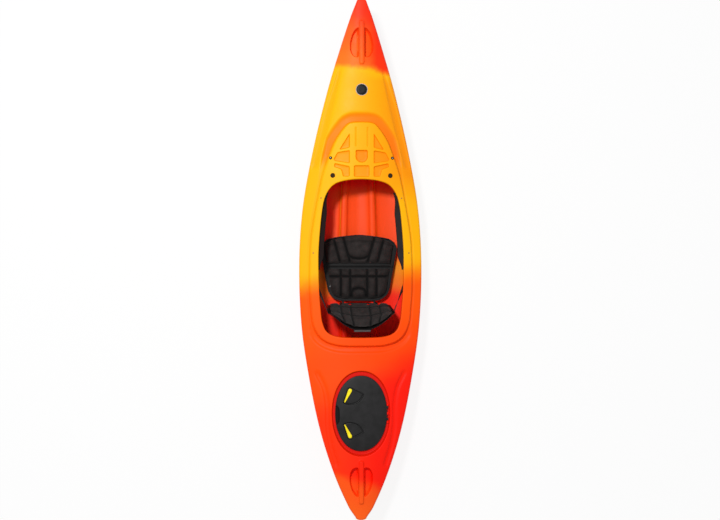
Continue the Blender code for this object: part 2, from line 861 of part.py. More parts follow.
def pillow(seams_rear, seams_front, bands, place, thickness, seam_share=0.6, edge_share=0.35):
    """Stuffed panel of sewn bands. place maps (across -1 to 1, along 0 to 1, height) to a point."""
    def split(marks):
        columns = []
        for a, b in zip(marks, marks[1:]):
            columns += [(a, seam_share), (mix(a, b, 0.22), 0.93)]
            columns += [(mix(a, b, 0.5), 1.0), (mix(a, b, 0.78), 0.93)]
        return columns + [(marks[-1], seam_share)]

    def marks(half):
        return [-1.0] + [-m for m in reversed(half)] + list(half) + [1.0]

    rear, front = split(marks(seams_rear)), split(marks(seams_front))
    rows = split(bands)
    bm = bmesh.new()
    top, bottom = [], []
    for j, (v, row_height) in enumerate(rows):
        above, below = [], []
        for i, ((u0, column_height), (u1, _)) in enumerate(zip(rear, front)):
            u = mix(u0, u1, v)
            border = i in (0, len(rear) - 1) or j in (0, len(rows) - 1)
            if border:
                vert = bm.verts.new(place(u, v, edge_share * thickness))
                above.append(vert)
                below.append(vert)
                continue
            crown = (1 - 0.25 * u * u) * (1 - 0.12 * (2 * v - 1) ** 2)
            height = thickness * crown * min(row_height, column_height)
            above.append(bm.verts.new(place(u, v, height)))
            tuck = 0.03 * thickness if i in (1, len(rear) - 2) or j in (1, len(rows) - 2) else 0.0
            below.append(bm.verts.new(place(u, v, tuck)))
        top.append(above)
        bottom.append(below)
    for sheet in (top, bottom):
        for row, after in zip(sheet, sheet[1:]):
            for i in range(len(row) - 1):
                bm.faces.new((row[i], row[i + 1], after[i + 1], after[i]))
    outward(bm)
    bmesh.ops.triangulate(bm, faces=bm.faces)
    return bm


for old in list(bpy.data.objects):
    bpy.data.objects.remove(old, do_unlink=True)

HULL_PLASTIC = material("hull_polyethylene", (0.95, 0.36, 0.02), 0.42)
BLACK_PLASTIC = material("black_nylon", (0.02, 0.02, 0.022), 0.45)
GREY_COVER = material("hatch_plastic", (0.035, 0.035, 0.037), 0.5)
YELLOW = material("yellow_nylon", (0.9, 0.75, 0.02), 0.4)
FOAM = material("grey_foam", (0.12, 0.12, 0.125), 0.9)
FABRIC = material("seat_fabric", (0.03, 0.027, 0.027), 0.85)
BRACE_FOAM = material("brace_foam", (0.05, 0.012, 0.012), 0.85)
STEEL = material("stainless_steel", (0.6, 0.6, 0.6), 0.3, 1.0)
RUBBER = material("black_rubber", (0.015, 0.015, 0.015), 0.7)
WEBBING = material("black_webbing", (0.02, 0.02, 0.02), 0.8)

# The shell is moulded in one piece, hollow, with the openings trimmed out of it

shell = add("kayak_shell", shell_body(0.0), HULL_PLASTIC)
boolean(shell, helper("cavity", shell_body(WALL)))
boolean(shell, helper("cockpit_cut", prism(cockpit_loop(), 0.15, 0.6)))
seat_of_hatch = hatch_seat_z()
boolean(shell, helper("hatch_cut", prism(hatch_loop(-HATCH_LEDGE), seat_of_hatch - 0.04, seat_of_hatch + 0.1)))
for end, handle_y in (("bow", BOW_HANDLE_Y), ("stern", STERN_HANDLE_Y)):
    floor = deck_z(0, handle_y) - WELL_DEPTH
    reach = HANDLE_WIDTH / 2 + 0.6 * WELL_WIDTH
    cut_later(
        "kayak_shell",
        block(
            (-reach, handle_y - FINGER_GAP_LENGTH / 2, floor + 0.003),
            (reach, handle_y + FINGER_GAP_LENGTH / 2, floor + 0.003 + FINGER_GAP),
        ),
    )

# What stands inside the hollow touches its walls: it is cut by a hollow that is a gap smaller

space = shell_body(WALL)
space.normal_update()
moved = [(vert, vert.co - vert.normal * GAP * vert.calc_shell_factor()) for vert in space.verts]
for vert, place in moved:
    vert.co = place
inner_space = helper("inner_space", space)

bulkhead = add(
    "rear_bulkhead",
    block((-BEAM / 2, BULKHEAD_Y, -0.01), (BEAM / 2, BULKHEAD_Y + BULKHEAD_THICKNESS, 0.5)),
    FOAM,
)
boolean(bulkhead, inner_space, "INTERSECT")

pillar = add(
    "bow_foam_pillar",
    block(
        (-PILLAR_THICKNESS / 2, PILLAR_REAR_Y, -0.01),
        (PILLAR_THICKNESS / 2, PILLAR_REAR_Y + PILLAR_LENGTH, 0.5),
    ),
    FOAM,
)
boolean(pillar, inner_space, "INTERSECT")

# Seat: two runners on the hull floor carry a moulded pan

PAN_Z = WALL + GAP + RUNNER_HEIGHT + GAP
PAN_FLOOR_Z = PAN_Z + PAN_WALL
SEAT_FRONT_Y = SEAT_REAR_Y + SEAT_LENGTH
SPLIT_Y = SEAT_REAR_Y + SEAT_SPLIT * SEAT_LENGTH

for side, hand in ((-1, "left"), (1, "right")):
    low = (side * RUNNER_X - RUNNER_WIDTH / 2, SEAT_REAR_Y + RUNNER_REAR_INSET, WALL + GAP)
    front = SEAT_FRONT_Y - SEAT_ARCH - RUNNER_INSET
    high = (side * RUNNER_X + RUNNER_WIDTH / 2, front, WALL + GAP + RUNNER_HEIGHT)
    runner = block(low, high)
    edges = [e for e in runner.edges if all(v.co.z > 0.02 for v in e.verts)]
    bmesh.ops.bevel(runner, geom=edges, offset=0.004, segments=2, profile=0.5, affect="EDGES", material=-1)
    add("seat_runner_" + hand, runner, BLACK_PLASTIC)


def seat_half_width(y):
    return mix(SEAT_REAR_WIDTH, SEAT_FRONT_WIDTH, (y - SEAT_REAR_Y) / SEAT_LENGTH) / 2


def seat_arch(x):
    """How far the seat's front edge lies behind its middle."""
    return SEAT_ARCH * (x / seat_half_width(SEAT_FRONT_Y)) ** 2


def rear_corner(ahead, radius):
    """How far the seat's rear corner cuts in, at a distance ahead of the rear edge."""
    return radius - math.sqrt(radius**2 - max(radius - ahead, 0.0) ** 2)


def pan_loop(inset):
    front, corner = seat_half_width(SEAT_FRONT_Y), SEAT_FRONT_CORNER
    half = []
    for i in range(6):
        x = (front - corner) * i / 5
        half.append((x, SEAT_FRONT_Y - seat_arch(x) - inset))
    x = front - 0.3 * corner
    half.append((x, SEAT_FRONT_Y - seat_arch(x) - 0.3 * corner - 0.7 * inset))
    half.append((front - inset, SEAT_FRONT_Y - SEAT_ARCH - corner))
    radius = SEAT_REAR_CORNER - inset
    for i in range(7):
        ahead = radius * (1 - math.sin(math.pi / 2 * i / 6))
        y = SEAT_REAR_Y + inset + ahead
        half.append((seat_half_width(y) - inset - rear_corner(ahead, radius), y))
    return [Vector(p) for p in half] + [Vector((-x, y)) for x, y in reversed(half) if x > 0]


pan = add("seat_pan", prism(pan_loop(0.0), PAN_Z, PAN_FLOOR_Z + PAN_RIM), BLACK_PLASTIC)
boolean(pan, helper("pan_hollow", prism(pan_loop(PAN_WALL), PAN_FLOOR_Z, PAN_FLOOR_Z + PAN_RIM + 0.01)))

for side, hand in ((-1, "left"), (1, "right")):
    for place, y in (("rear", SEAT_REAR_Y + 0.09), ("front", SEAT_FRONT_Y - SEAT_ARCH - 0.07)):
        fastener(
            "seat_bolt_%s_%s" % (hand, place), (side * SEAT_BOLT_X, y, PAN_FLOOR_Z), (0, 0, 1),
            (0.008, 0.002), (0.003, 0.022), STEEL, ["seat_pan", "seat_runner_" + hand], 0.0026,
        )

# Seat pads lie on the pan, over its sunk bolt heads

PAD_Z = PAN_FLOOR_Z + GAP


def base_place(u, v, height):
    inset = PAN_WALL + PAD_CLEARANCE
    y = mix(SEAT_REAR_Y + inset, SPLIT_Y - LIFTER_CLEARANCE / 2, v)
    round_off = rear_corner(y - SEAT_REAR_Y - inset, SEAT_REAR_CORNER - inset)
    return (u * (seat_half_width(y) - inset - round_off), y, PAD_Z + height)


add("seat_base_pad", pillow((0.35, 0.62), (0.35, 0.62), (0.0, 0.55, 1.0), base_place, PAD_THICKNESS), FABRIC)

# Leg lifter: the front of the seat tilts up about a pin across the pan

LIFTER_PIN_Y = SPLIT_Y
LIFTER_PIN_Z = PAN_FLOOR_Z + LIFTER_PIN_HEIGHT
lug_x = seat_half_width(LIFTER_PIN_Y) - PAN_WALL - LUG_WIDTH / 2 + 0.001
for side, hand in ((-1, "left"), (1, "right")):
    lug = block(
        (side * lug_x - LUG_WIDTH / 2, LIFTER_PIN_Y - 0.0055, PAN_FLOOR_Z - 0.002),
        (side * lug_x + LUG_WIDTH / 2, LIFTER_PIN_Y + 0.0055, LIFTER_PIN_Z + 0.0055),
    )
    boolean(pan, helper("lifter_lug_" + hand, lug), "UNION")
pin_half = lug_x + 0.3 * LUG_WIDTH
pin = rod(LIFTER_PIN_RADIUS, pin_half, 12)
add("leg_lifter_pin", stand(pin, (0, LIFTER_PIN_Y, LIFTER_PIN_Z), (1, 0, 0)), STEEL)


def pin_bore(radius, half, point):
    return stand(rod(radius + GAP, half, 12), point, (1, 0, 0))


cut_later("seat_pan", pin_bore(LIFTER_PIN_RADIUS, pin_half + GAP, (0, LIFTER_PIN_Y, LIFTER_PIN_Z)))

plate_half = lug_x - LUG_WIDTH / 2 - 0.001
plate_front = SEAT_FRONT_Y - PAN_WALL - 0.004
plate_top = PAN_FLOOR_Z + 0.007
rings = []
for i in range(13):
    x = mix(-plate_half, plate_half, i / 12)
    front = plate_front - 0.02 - seat_arch(x)
    low = plate_top - LIFTER_PLATE
    rings.append([(x, LIFTER_PIN_Y, low), (x, front, low), (x, front, plate_top), (x, LIFTER_PIN_Y, plate_top)])
plate = sweep(rings)
lifter = add("leg_lifter_panel", plate, BLACK_PLASTIC)
barrel = pin_bore(LIFTER_BARREL, plate_half, (0, LIFTER_PIN_Y, LIFTER_PIN_Z))
boolean(lifter, helper("lifter_barrel", barrel), "UNION")
cut_later("leg_lifter_panel", pin_bore(LIFTER_PIN_RADIUS, 1.0, (0, LIFTER_PIN_Y, LIFTER_PIN_Z)))


def lifter_place(u, v, height):
    arch = seat_arch(u * seat_half_width(SEAT_FRONT_Y))
    front = SEAT_FRONT_Y + 0.014 * (1 - u * u) - arch
    y = mix(LIFTER_PIN_Y + LIFTER_BARREL + 0.004 + 0.25 * height, front, v)
    half = seat_half_width(min(y, SEAT_FRONT_Y)) - PAN_WALL - PAD_CLEARANCE
    over_rim = PAN_RIM + 0.001 - (plate_top - PAN_FLOOR_Z) - GAP
    lift = max(0.0, over_rim) * smooth((y + arch - plate_front + 0.035) / 0.02)
    return (u * half, y, plate_top + GAP + lift + height)


add(
    "leg_lifter_pad",
    pillow((0.35, 0.62), (0.47, 0.75), (0.0, 0.5, 1.0), lifter_place, PAD_THICKNESS),
    FABRIC,
)

# Backrest: a curved plastic panel and its pad, leaning back about a pin behind the pan

BACK_PIN_Y = SEAT_REAR_Y - BACK_PIN_BEHIND
BACK_PIN_Z = PAN_Z + BACK_PIN_HEIGHT


def back_place(u, share, forward):
    """Point of the backrest: across -1 to 1, up 0 to 1, and forward of the panel's front face."""
    taper = BACK_TOP_TAPER * smooth((share - 0.7) / 0.3) + BACK_FOOT_TAPER * (1 - share) ** 2
    half = BACK_WIDTH / 2 * (1 - taper)
    bow = BACK_WING * u * u * share
    up = BACK_START + BACK_HEIGHT * share * (1 - 0.06 * u * u)
    n = bow + forward
    x = u * half - u * 0.35 * forward * share
    return (
        x,
        BACK_PIN_Y + n * math.cos(RECLINE) - up * math.sin(RECLINE),
        BACK_PIN_Z + n * math.sin(RECLINE) + up * math.cos(RECLINE),
    )


def panel(columns, rows, place, thickness):
    """Curved plate with its front face at height 0 of place."""
    bm = bmesh.new()
    sheets = []
    for height in (0.0, -thickness):
        sheets.append(
            [
                [bm.verts.new(place(mix(-1, 1, i / columns), j / rows, height)) for i in range(columns + 1)]
                for j in range(rows + 1)
            ]
        )
    for sheet in sheets:
        for row, after in zip(sheet, sheet[1:]):
            for i in range(columns):
                bm.faces.new((row[i], row[i + 1], after[i + 1], after[i]))
    front, rear = sheets
    around = [(0, i) for i in range(columns)] + [(j, columns) for j in range(rows)]
    around += [(rows, i) for i in range(columns, 0, -1)] + [(j, 0) for j in range(rows, 0, -1)]
    for (j0, i0), (j1, i1) in zip(around, around[1:] + around[:1]):
        bm.faces.new((front[j0][i0], front[j1][i1], rear[j1][i1], rear[j0][i0]))
    outward(bm)
    bmesh.ops.triangulate(bm, faces=bm.faces)
    return bm


backrest = add("backrest_shell", panel(20, 12, back_place, BACK_PLATE), BLACK_PLASTIC)
pin_point = (0, BACK_PIN_Y, BACK_PIN_Z)
for side, hand in ((-1, "left"), (1, "right")):
    lug = block(
        (side * BACK_LUG_X - 0.005, BACK_PIN_Y - 0.009, BACK_PIN_Z - 0.009),
        (side * BACK_LUG_X + 0.005, SEAT_REAR_Y + 0.002, BACK_PIN_Z + 0.009),
    )
    boolean(pan, helper("back_lug_" + hand, lug), "UNION")
    arm_x = side * (BACK_LUG_X + 0.0115)
    up = Vector((0, -math.sin(RECLINE), math.cos(RECLINE)))
    ahead = Vector((0, math.cos(RECLINE), math.sin(RECLINE)))
    base = Vector(pin_point)
    corners = [
        base - up * 0.009 - ahead * 0.008, base - up * 0.009 + ahead * 0.006,
        base + up * (BACK_START + 0.03) + ahead * 0.0008, base + up * (BACK_START + 0.03) - ahead * 0.008,
    ]
    arm = sweep([[Vector((arm_x + dx, c.y, c.z)) for c in corners] for dx in (-0.005, 0.005)])
    boolean(backrest, helper("back_arm_" + hand, arm), "UNION")
back_pin_half = BACK_LUG_X + 0.022
pin = rod(BACK_PIN_RADIUS, back_pin_half, 12)
add("backrest_pin", stand(pin, pin_point, (1, 0, 0)), STEEL)
for name in ("seat_pan", "backrest_shell"):
    cut_later(name, pin_bore(BACK_PIN_RADIUS, 0.2, pin_point))


def back_pad_place(u, share, height):
    return back_place(0.97 * u, 0.02 + 0.96 * share, BACK_PAD_SEAT + height)


back_pad = pillow((0.315, 0.65), (0.315, 0.65), (0.0, 0.28, 0.62, 1.0), back_pad_place, BACK_PAD_THICKNESS)
add("backrest_pad", back_pad, FABRIC)

# Thigh braces hang under the sides of the coaming, with a foam pad under each


def brace_rings(side, shape):
    """Rings along the opening's edge. shape gives, at a share of the length, (outward, up) points."""
    rings = []
    for i in range(BRACE_RINGS + 1):
        share = i / BRACE_RINGS
        y = mix(BRACE_FRONT_Y, BRACE_REAR_Y, share)
        edge = opening_x(y)
        rings.append(
            [
                (side * (edge + outward), y, deck_z(edge + max(outward, 0.0), y) + COAMING_RISE + up)
                for outward, up in shape(share)
            ]
        )
    return rings


def brace_reach(share):
    return BRACE_REACH * (0.35 + 0.65 * smooth(share / 0.3)) * (1 - 0.75 * smooth((share - 0.8) / 0.2))


def brace_section(share):
    inner = COAMING_LIP_WIDTH + 0.0015
    under = -COAMING_LIP_DEPTH - WALL - 0.0015
    high = -WALL - BRACE_CLEARANCE
    t = BRACE_PLATE
    reach = brace_reach(share)
    y = mix(BRACE_FRONT_Y, BRACE_REAR_Y, share)
    outer = brace_limit_x(y) - opening_x(y)
    return [
        (outer, high), (outer, high - t), (inner + t, high - t),
        (inner + t, under - t), (-reach, under - t - 0.35 * reach), (-reach, under - 0.35 * reach),
        (inner, under), (inner, high),
    ]


def brace_pad_section(share):
    inner = COAMING_LIP_WIDTH + 0.0015 + BRACE_PLATE
    under = -COAMING_LIP_DEPTH - WALL - 0.0015 - BRACE_PLATE - 2 * GAP
    reach = brace_reach(share)
    return [
        (inner, under), (inner, under - 0.7 * BRACE_PAD), (inner - 0.004, under - BRACE_PAD),
        (-reach + 0.003, under - 0.35 * reach - BRACE_PAD), (-reach, under - 0.35 * reach - 0.6 * BRACE_PAD),
        (-reach, under - 0.35 * reach),
    ]


for side, hand in ((-1, "left"), (1, "right")):
    add("thigh_brace_" + hand, sweep(brace_rings(side, brace_section)), BLACK_PLASTIC)
    add("thigh_pad_" + hand, sweep(brace_rings(side, brace_pad_section)), BRACE_FOAM)
    for place, y in zip(("front", "rear"), BRACE_SCREWS_Y):
        x = brace_limit_x(y) - BRACE_SCREW_INSET
        point, normal = coaming_top(side * x, y)
        fastener(
            "thigh_brace_screw_%s_%s" % (hand, place), point, normal, (0.005, 0.0025), (0.002, 0.014), STEEL,
            ["kayak_shell", "thigh_brace_" + hand], 0.0012,
        )

# Plugs, fittings and the plain round badge on the deck

for side, hand in ((-1, "left"), (1, "right")):
    point, normal = coaming_top(side * PLUG_X, COCKPIT_FRONT_Y + PLUG_AHEAD)
    fastener(
        "deck_plug_" + hand, point, normal, (0.0145, 0.0035), (0.006, 0.012), RUBBER, ["kayak_shell"], 0.0018
    )
    point, normal = coaming_top(side * FITTING_X, COCKPIT_FRONT_Y + FITTING_AHEAD)
    fastener(
        "deck_fitting_" + hand, point, normal, (0.009, 0.006), (0.003, 0.012), BLACK_PLASTIC, ["kayak_shell"],
        0.0016,
    )

badge_slope = (deck_z(0, BADGE_Y + 0.01) - deck_z(0, BADGE_Y - 0.01)) / 0.02
fastener(
    "bow_badge", (0, BADGE_Y, deck_z(0, BADGE_Y)), (0, -badge_slope, 1), (BADGE_RADIUS, 0.0022), (0.004, 0.001),
    BLACK_PLASTIC, ["kayak_shell"], 0.0022,
)

# Foot braces: a toothed rail on each side of the hull and a pedal that slides along it


rail_rear_x = side_x(RAIL_Y - RAIL_LENGTH / 2, RAIL_Z)
rail_front_x = side_x(RAIL_Y + RAIL_LENGTH / 2, RAIL_Z)
rail_middle_x = min((rail_rear_x + rail_front_x) / 2, side_x(RAIL_Y, RAIL_Z)) - RAIL_STANDOFF
rail_run = Vector((rail_front_x - rail_rear_x, RAIL_LENGTH, 0)).normalized()


def rail_point(side, outward_by, along, up):
    """Point beside a rail, from the rail's middle."""
    run = Vector((side * rail_run.x, rail_run.y, 0))
    out = Vector((side * rail_run.y, -rail_run.x, 0))
    return Vector((side * rail_middle_x, RAIL_Y, RAIL_Z)) + out * outward_by + run * along + Vector((0, 0, up))


def along_rail(side, low, high):
    """Box beside the rail: low and high are (outward, along, up) from the rail's middle."""
    bm = block(low, high)
    for vert in bm.verts:
        vert.co = rail_point(side, *vert.co)
    outward(bm)
    return bm


for side, hand in ((-1, "left"), (1, "right")):
    bar = along_rail(
        side, (-RAIL_THICKNESS, -RAIL_LENGTH / 2, -RAIL_HEIGHT / 2), (0.0, RAIL_LENGTH / 2, RAIL_HEIGHT / 2)
    )
    rail = add("foot_rail_" + hand, bar, BLACK_PLASTIC)
    for place, at in (("rear", 0.02 - RAIL_LENGTH / 2), ("front", RAIL_LENGTH / 2 - 0.02)):
        foot = along_rail(side, (-0.002, at - 0.015, -0.010), (0.08, at + 0.015, 0.010))
        boolean(rail, helper("rail_foot_%s_%s" % (hand, place), foot), "UNION")
    boolean(rail, inner_space, "INTERSECT")
    carriage = along_rail(
        side,
        (-RAIL_THICKNESS - GAP - CARRIAGE_THICKNESS, -CARRIAGE_LENGTH / 2, -0.020),
        (-RAIL_THICKNESS - GAP, CARRIAGE_LENGTH / 2, 0.020),
    )
    pedal = add("foot_pedal_" + hand, carriage, BLACK_PLASTIC)
    plate = along_rail(
        side,
        (-RAIL_THICKNESS - GAP - PEDAL_WIDTH, -CARRIAGE_LENGTH / 2, -PEDAL_HEIGHT / 2),
        (-RAIL_THICKNESS - GAP - 0.002, -CARRIAGE_LENGTH / 2 + PEDAL_THICKNESS, PEDAL_HEIGHT / 2),
    )
    boolean(pedal, helper("pedal_plate_" + hand, plate), "UNION")
    trigger = along_rail(
        side,
        (-RAIL_THICKNESS - GAP - CARRIAGE_THICKNESS + 0.001, TRIGGER_START, 0.020 + GAP),
        (-RAIL_THICKNESS - GAP - 0.001, CARRIAGE_LENGTH / 2 + 0.012, 0.025 + GAP),
    )
    add("foot_trigger_" + hand, trigger, YELLOW)

# Straps from the backrest to anchors on the hull's sides


for side, hand in ((-1, "left"), (1, "right")):
    wall_x = side_x(ANCHOR_Y, ANCHOR_Z)
    anchor = add(
        "strap_anchor_" + hand,
        block(
            (min(side * (wall_x - 0.012), side * (wall_x + 0.03)), ANCHOR_Y - 0.012, ANCHOR_Z - 0.020),
            (max(side * (wall_x - 0.012), side * (wall_x + 0.03)), ANCHOR_Y + 0.012, ANCHOR_Z + 0.020),
        ),
        BLACK_PLASTIC,
    )
    boolean(anchor, inner_space, "INTERSECT")
    start = Vector(back_place(side * 1.0, 0.55, -0.001)) + Vector((side * 0.0012, 0, 0))
    end = Vector((side * (wall_x - 0.012 - GAP - 0.6 * STRAP_THICKNESS), ANCHOR_Y - 0.004, ANCHOR_Z))
    run = (end - start).normalized()
    across = Vector((0, 0, 1))
    flat = run.cross(across).normalized()
    rings = []
    for point in (start, start.lerp(end, 0.5), end):
        rings.append(
            [
                point + across * (a * STRAP_WIDTH / 2) + flat * (b * STRAP_THICKNESS / 2)
                for a, b in ((-1, -1), (1, -1), (1, 1), (-1, 1))
            ]
        )
    add("backrest_strap_" + hand, sweep(rings), WEBBING)

# Rear hatch: a gasket on the ledge, a domed cover on two knuckles, and two quarter-turn levers with cams


gasket_ring = prism(hatch_loop(-0.004), seat_of_hatch + GAP, seat_of_hatch + GASKET_HEIGHT)
add("hatch_gasket", gasket_ring, RUBBER)
cut_later("hatch_gasket", prism(hatch_loop(-0.020), seat_of_hatch - 0.01, seat_of_hatch + 0.02))
cover_z = seat_of_hatch + GASKET_HEIGHT + GAP


def cover_top(x, y):
    """Height of the cover's domed top."""
    across = abs(x) / (HATCH_WIDTH / 2)
    along = abs(y - HATCH_Y) / (HATCH_LENGTH / 2)
    reach = clamp((across**HATCH_POWER + along**HATCH_POWER) ** (1 / HATCH_POWER))
    return cover_z + COVER_RIM + COVER_CROWN * (1 - reach**3)


def cover_body():
    """The domed plate, from rings that close in on its middle."""
    bm = bmesh.new()
    rings = []
    for share in (1.0, 0.97, 0.85, 0.65, 0.4):
        loop = oval(HATCH_Y, HATCH_LENGTH * share, HATCH_WIDTH * share, HATCH_POWER, 40)
        drop = 0.003 if share == 1.0 else 0.0
        rings.append([bm.verts.new((p.x, p.y, cover_top(p.x, p.y) - drop)) for p in loop])
    low = [bm.verts.new((v.co.x, v.co.y, cover_z)) for v in rings[0]]
    for ring, after in zip([low] + rings, rings):
        for i in range(len(ring)):
            j = (i + 1) % len(ring)
            bm.faces.new((ring[i], ring[j], after[j], after[i]))
    bm.faces.new(low)
    middle = bm.verts.new((0, HATCH_Y, cover_top(0, HATCH_Y)))
    for i, vert in enumerate(rings[-1]):
        bm.faces.new((vert, rings[-1][(i + 1) % len(rings[-1])], middle))
    outward(bm)
    bmesh.ops.triangulate(bm, faces=bm.faces)
    return bm


def arc(centre, way, radius, start, end, steps):
    """Points round an upright axis. way is -1 for the mirror image toward the stern."""
    points = []
    for i in range(steps + 1):
        angle = mix(start, end, i / steps)
        points.append(Vector((centre.x + radius * math.cos(angle), centre.y + way * radius * math.sin(angle))))
    return points


cover = add("hatch_cover", cover_body(), GREY_COVER)
plug = prism(hatch_loop(-HATCH_LEDGE - COVER_PLUG_GAP), seat_of_hatch - 0.0047, cover_z + 0.002)
boolean(cover, helper("cover_plug", plug), "UNION")

lever_floor = cover_z + COVER_RIM + 0.5 * COVER_CROWN - RECESS_DEPTH
spindle_low = seat_of_hatch - 0.0053 - CAM_THICKNESS
for place, way in (("front", 1), ("rear", -1)):
    pivot = Vector((LEVER_X, HATCH_Y + way * LEVER_Y, 0))
    sector = arc(pivot, way, RECESS_RADIUS, LEVER_REST - 0.10, LEVER_REST + LEVER_SWEEP + 0.10, 12)
    sector += arc(
        pivot, way, 0.019, LEVER_REST + LEVER_SWEEP + math.pi / 2, LEVER_REST - math.pi / 2 + math.tau, 8
    )
    cut_later("hatch_cover", prism(sector, lever_floor, lever_floor + 0.05))
    tip = arc(pivot, way, LEVER_LENGTH, LEVER_REST, LEVER_REST, 1)[0]
    outline = arc(pivot, way, LEVER_HUB, LEVER_REST + math.pi / 2 - 0.08, LEVER_REST + 1.5 * math.pi + 0.08, 8)
    outline += arc(tip, way, LEVER_TIP, LEVER_REST - math.pi / 2, LEVER_REST + math.pi / 2, 4)
    handle = prism(outline, lever_floor + GAP, lever_floor + GAP + LEVER_THICKNESS)
    lever = add("hatch_lever_" + place, handle, YELLOW)
    stem = turned(
        [
            (0, lever_floor + 0.003), (SPINDLE_RADIUS, lever_floor + 0.003),
            (SPINDLE_RADIUS, spindle_low + CAM_THICKNESS + GAP), (0, spindle_low + CAM_THICKNESS + GAP),
        ],
        16,
    )
    boolean(lever, helper("lever_stem_" + place, stand(stem, pivot)), "UNION")
    bore = turned([(0, 0.5), (SPINDLE_RADIUS + GAP, 0.5), (SPINDLE_RADIUS + GAP, 0.1), (0, 0.1)], 16)
    cut_later("hatch_cover", stand(bore, pivot))
    outline = ((0.010, -1.0), (0.010, 1.0), (0.006 - CAM_LENGTH, 1.0), (-CAM_LENGTH, 0.4))
    outline += ((-CAM_LENGTH, -0.4), (0.006 - CAM_LENGTH, -1.0))
    cam = [pivot.to_2d() + Vector((x, y * CAM_WIDTH / 2)) for x, y in outline]
    add("hatch_cam_" + place, prism(cam, spindle_low, spindle_low + CAM_THICKNESS), BLACK_PLASTIC)

hinge_z = seat_of_hatch + HINGE_RISE
bracket = add(
    "hatch_hinge_bracket",
    block(
        (HINGE_X - 0.006, HATCH_Y - HINGE_HALF, seat_of_hatch + GAP),
        (HINGE_X + 0.006, HATCH_Y + HINGE_HALF, seat_of_hatch + 0.0025),
    ),
    BLACK_PLASTIC,
)


def barrel(low_y, high_y):
    body = rod(BARREL_RADIUS, (high_y - low_y) / 2, 16)
    return stand(body, (HINGE_X, HATCH_Y + (low_y + high_y) / 2, hinge_z), (0, 1, 0))


for i, (low_y, high_y) in enumerate(((-0.060, -0.046), (-0.008, 0.008), (0.046, 0.060))):
    boolean(bracket, helper("bracket_barrel_%d" % i, barrel(low_y, high_y)), "UNION")
    web = block(
        (HINGE_X - 0.002, HATCH_Y + low_y + 0.0004, seat_of_hatch + 0.001),
        (HINGE_X + 0.002, HATCH_Y + high_y - 0.0004, hinge_z - 0.001),
    )
    boolean(bracket, helper("bracket_web_%d" % i, web), "UNION")
for i, (low_y, high_y) in enumerate(((-0.044, -0.030), (0.030, 0.044))):
    boolean(cover, helper("cover_barrel_%d" % i, barrel(low_y, high_y)), "UNION")
    ear = block(
        (HATCH_WIDTH / 2 - 0.012, HATCH_Y + low_y + 0.0004, hinge_z - 0.0025),
        (HINGE_X - 0.001, HATCH_Y + high_y - 0.0004, hinge_z + 0.0025),
    )
    boolean(cover, helper("cover_ear_%d" % i, ear), "UNION")
for name in ("hatch_hinge_bracket", "hatch_cover"):
    bore = rod(HINGE_PIN_RADIUS + GAP, 0.062, 12)
    cut_later(name, stand(bore, (HINGE_X, HATCH_Y, hinge_z), (0, 1, 0)))
hinge_pin = rod(HINGE_PIN_RADIUS, 0.061, 12)
add("hatch_hinge_pin", stand(hinge_pin, (HINGE_X, HATCH_Y, hinge_z), (0, 1, 0)), STEEL)

# The kept cutters. Those of the shell lie apart, so one Boolean cuts them all

for target, bodies in CUTS.items():
    if target == "kayak_shell":
        bodies = [joined(*bodies)]
    for i, body in enumerate(bodies):
        boolean(bpy.data.objects[target], helper("cut_%d_of_%s" % (i, target), body))


def pivot_on(point, *names):
    """Puts the origin of moving pieces on their joint's axis."""
    for name in names:
        obj = bpy.data.objects[name]
        obj.data.transform(Matrix.Translation(-Vector(point)))
        obj.location = point


pivot_on((0, LIFTER_PIN_Y, LIFTER_PIN_Z), "leg_lifter_panel", "leg_lifter_pad")
pivot_on(pin_point, "backrest_shell", "backrest_pad")
pivot_on((HINGE_X, HATCH_Y, hinge_z), "hatch_cover")
for place, way in (("front", 1), ("rear", -1)):
    pivot = (LEVER_X, HATCH_Y + way * LEVER_Y, lever_floor)
    pivot_on(pivot, "hatch_lever_" + place, "hatch_cam_" + place)
for side, hand in ((-1, "left"), (1, "right")):
    carriage_out = -RAIL_THICKNESS - GAP - CARRIAGE_THICKNESS / 2
    pivot_on(rail_point(side, carriage_out, 0.0, 0.0), "foot_pedal_" + hand)
    pivot_on(rail_point(side, carriage_out, TRIGGER_START, 0.0225 + GAP), "foot_trigger_" + hand)
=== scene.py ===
import math

import bmesh
import bpy
import numpy as np
from mathutils import Matrix, Vector
from mathutils.geometry import delaunay_2d_cdt
from mathutils.kdtree import KDTree


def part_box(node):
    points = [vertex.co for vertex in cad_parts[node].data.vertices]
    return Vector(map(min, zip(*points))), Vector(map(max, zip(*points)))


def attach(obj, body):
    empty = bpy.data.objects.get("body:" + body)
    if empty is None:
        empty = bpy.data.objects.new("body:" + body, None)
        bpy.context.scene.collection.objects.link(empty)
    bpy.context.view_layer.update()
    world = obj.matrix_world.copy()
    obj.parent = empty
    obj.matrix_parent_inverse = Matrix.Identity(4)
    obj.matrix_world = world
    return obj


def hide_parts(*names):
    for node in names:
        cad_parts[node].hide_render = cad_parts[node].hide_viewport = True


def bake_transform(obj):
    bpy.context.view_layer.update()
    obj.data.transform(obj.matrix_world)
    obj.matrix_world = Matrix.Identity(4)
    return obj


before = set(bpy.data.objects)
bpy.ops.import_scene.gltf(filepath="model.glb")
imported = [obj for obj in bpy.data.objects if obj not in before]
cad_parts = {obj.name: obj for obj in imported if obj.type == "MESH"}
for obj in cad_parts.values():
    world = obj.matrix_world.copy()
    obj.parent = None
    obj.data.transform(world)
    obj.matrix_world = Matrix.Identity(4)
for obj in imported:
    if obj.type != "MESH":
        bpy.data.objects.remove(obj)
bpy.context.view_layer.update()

# Moulded shell. The real hull and deck are one hollow skin of polyethylene, moulded in a turning
# oven from three coloured powders that run into each other. The cockpit and the rear hatch are
# trimmed out of it afterwards, and the edge of the coaming turns down into a lip.

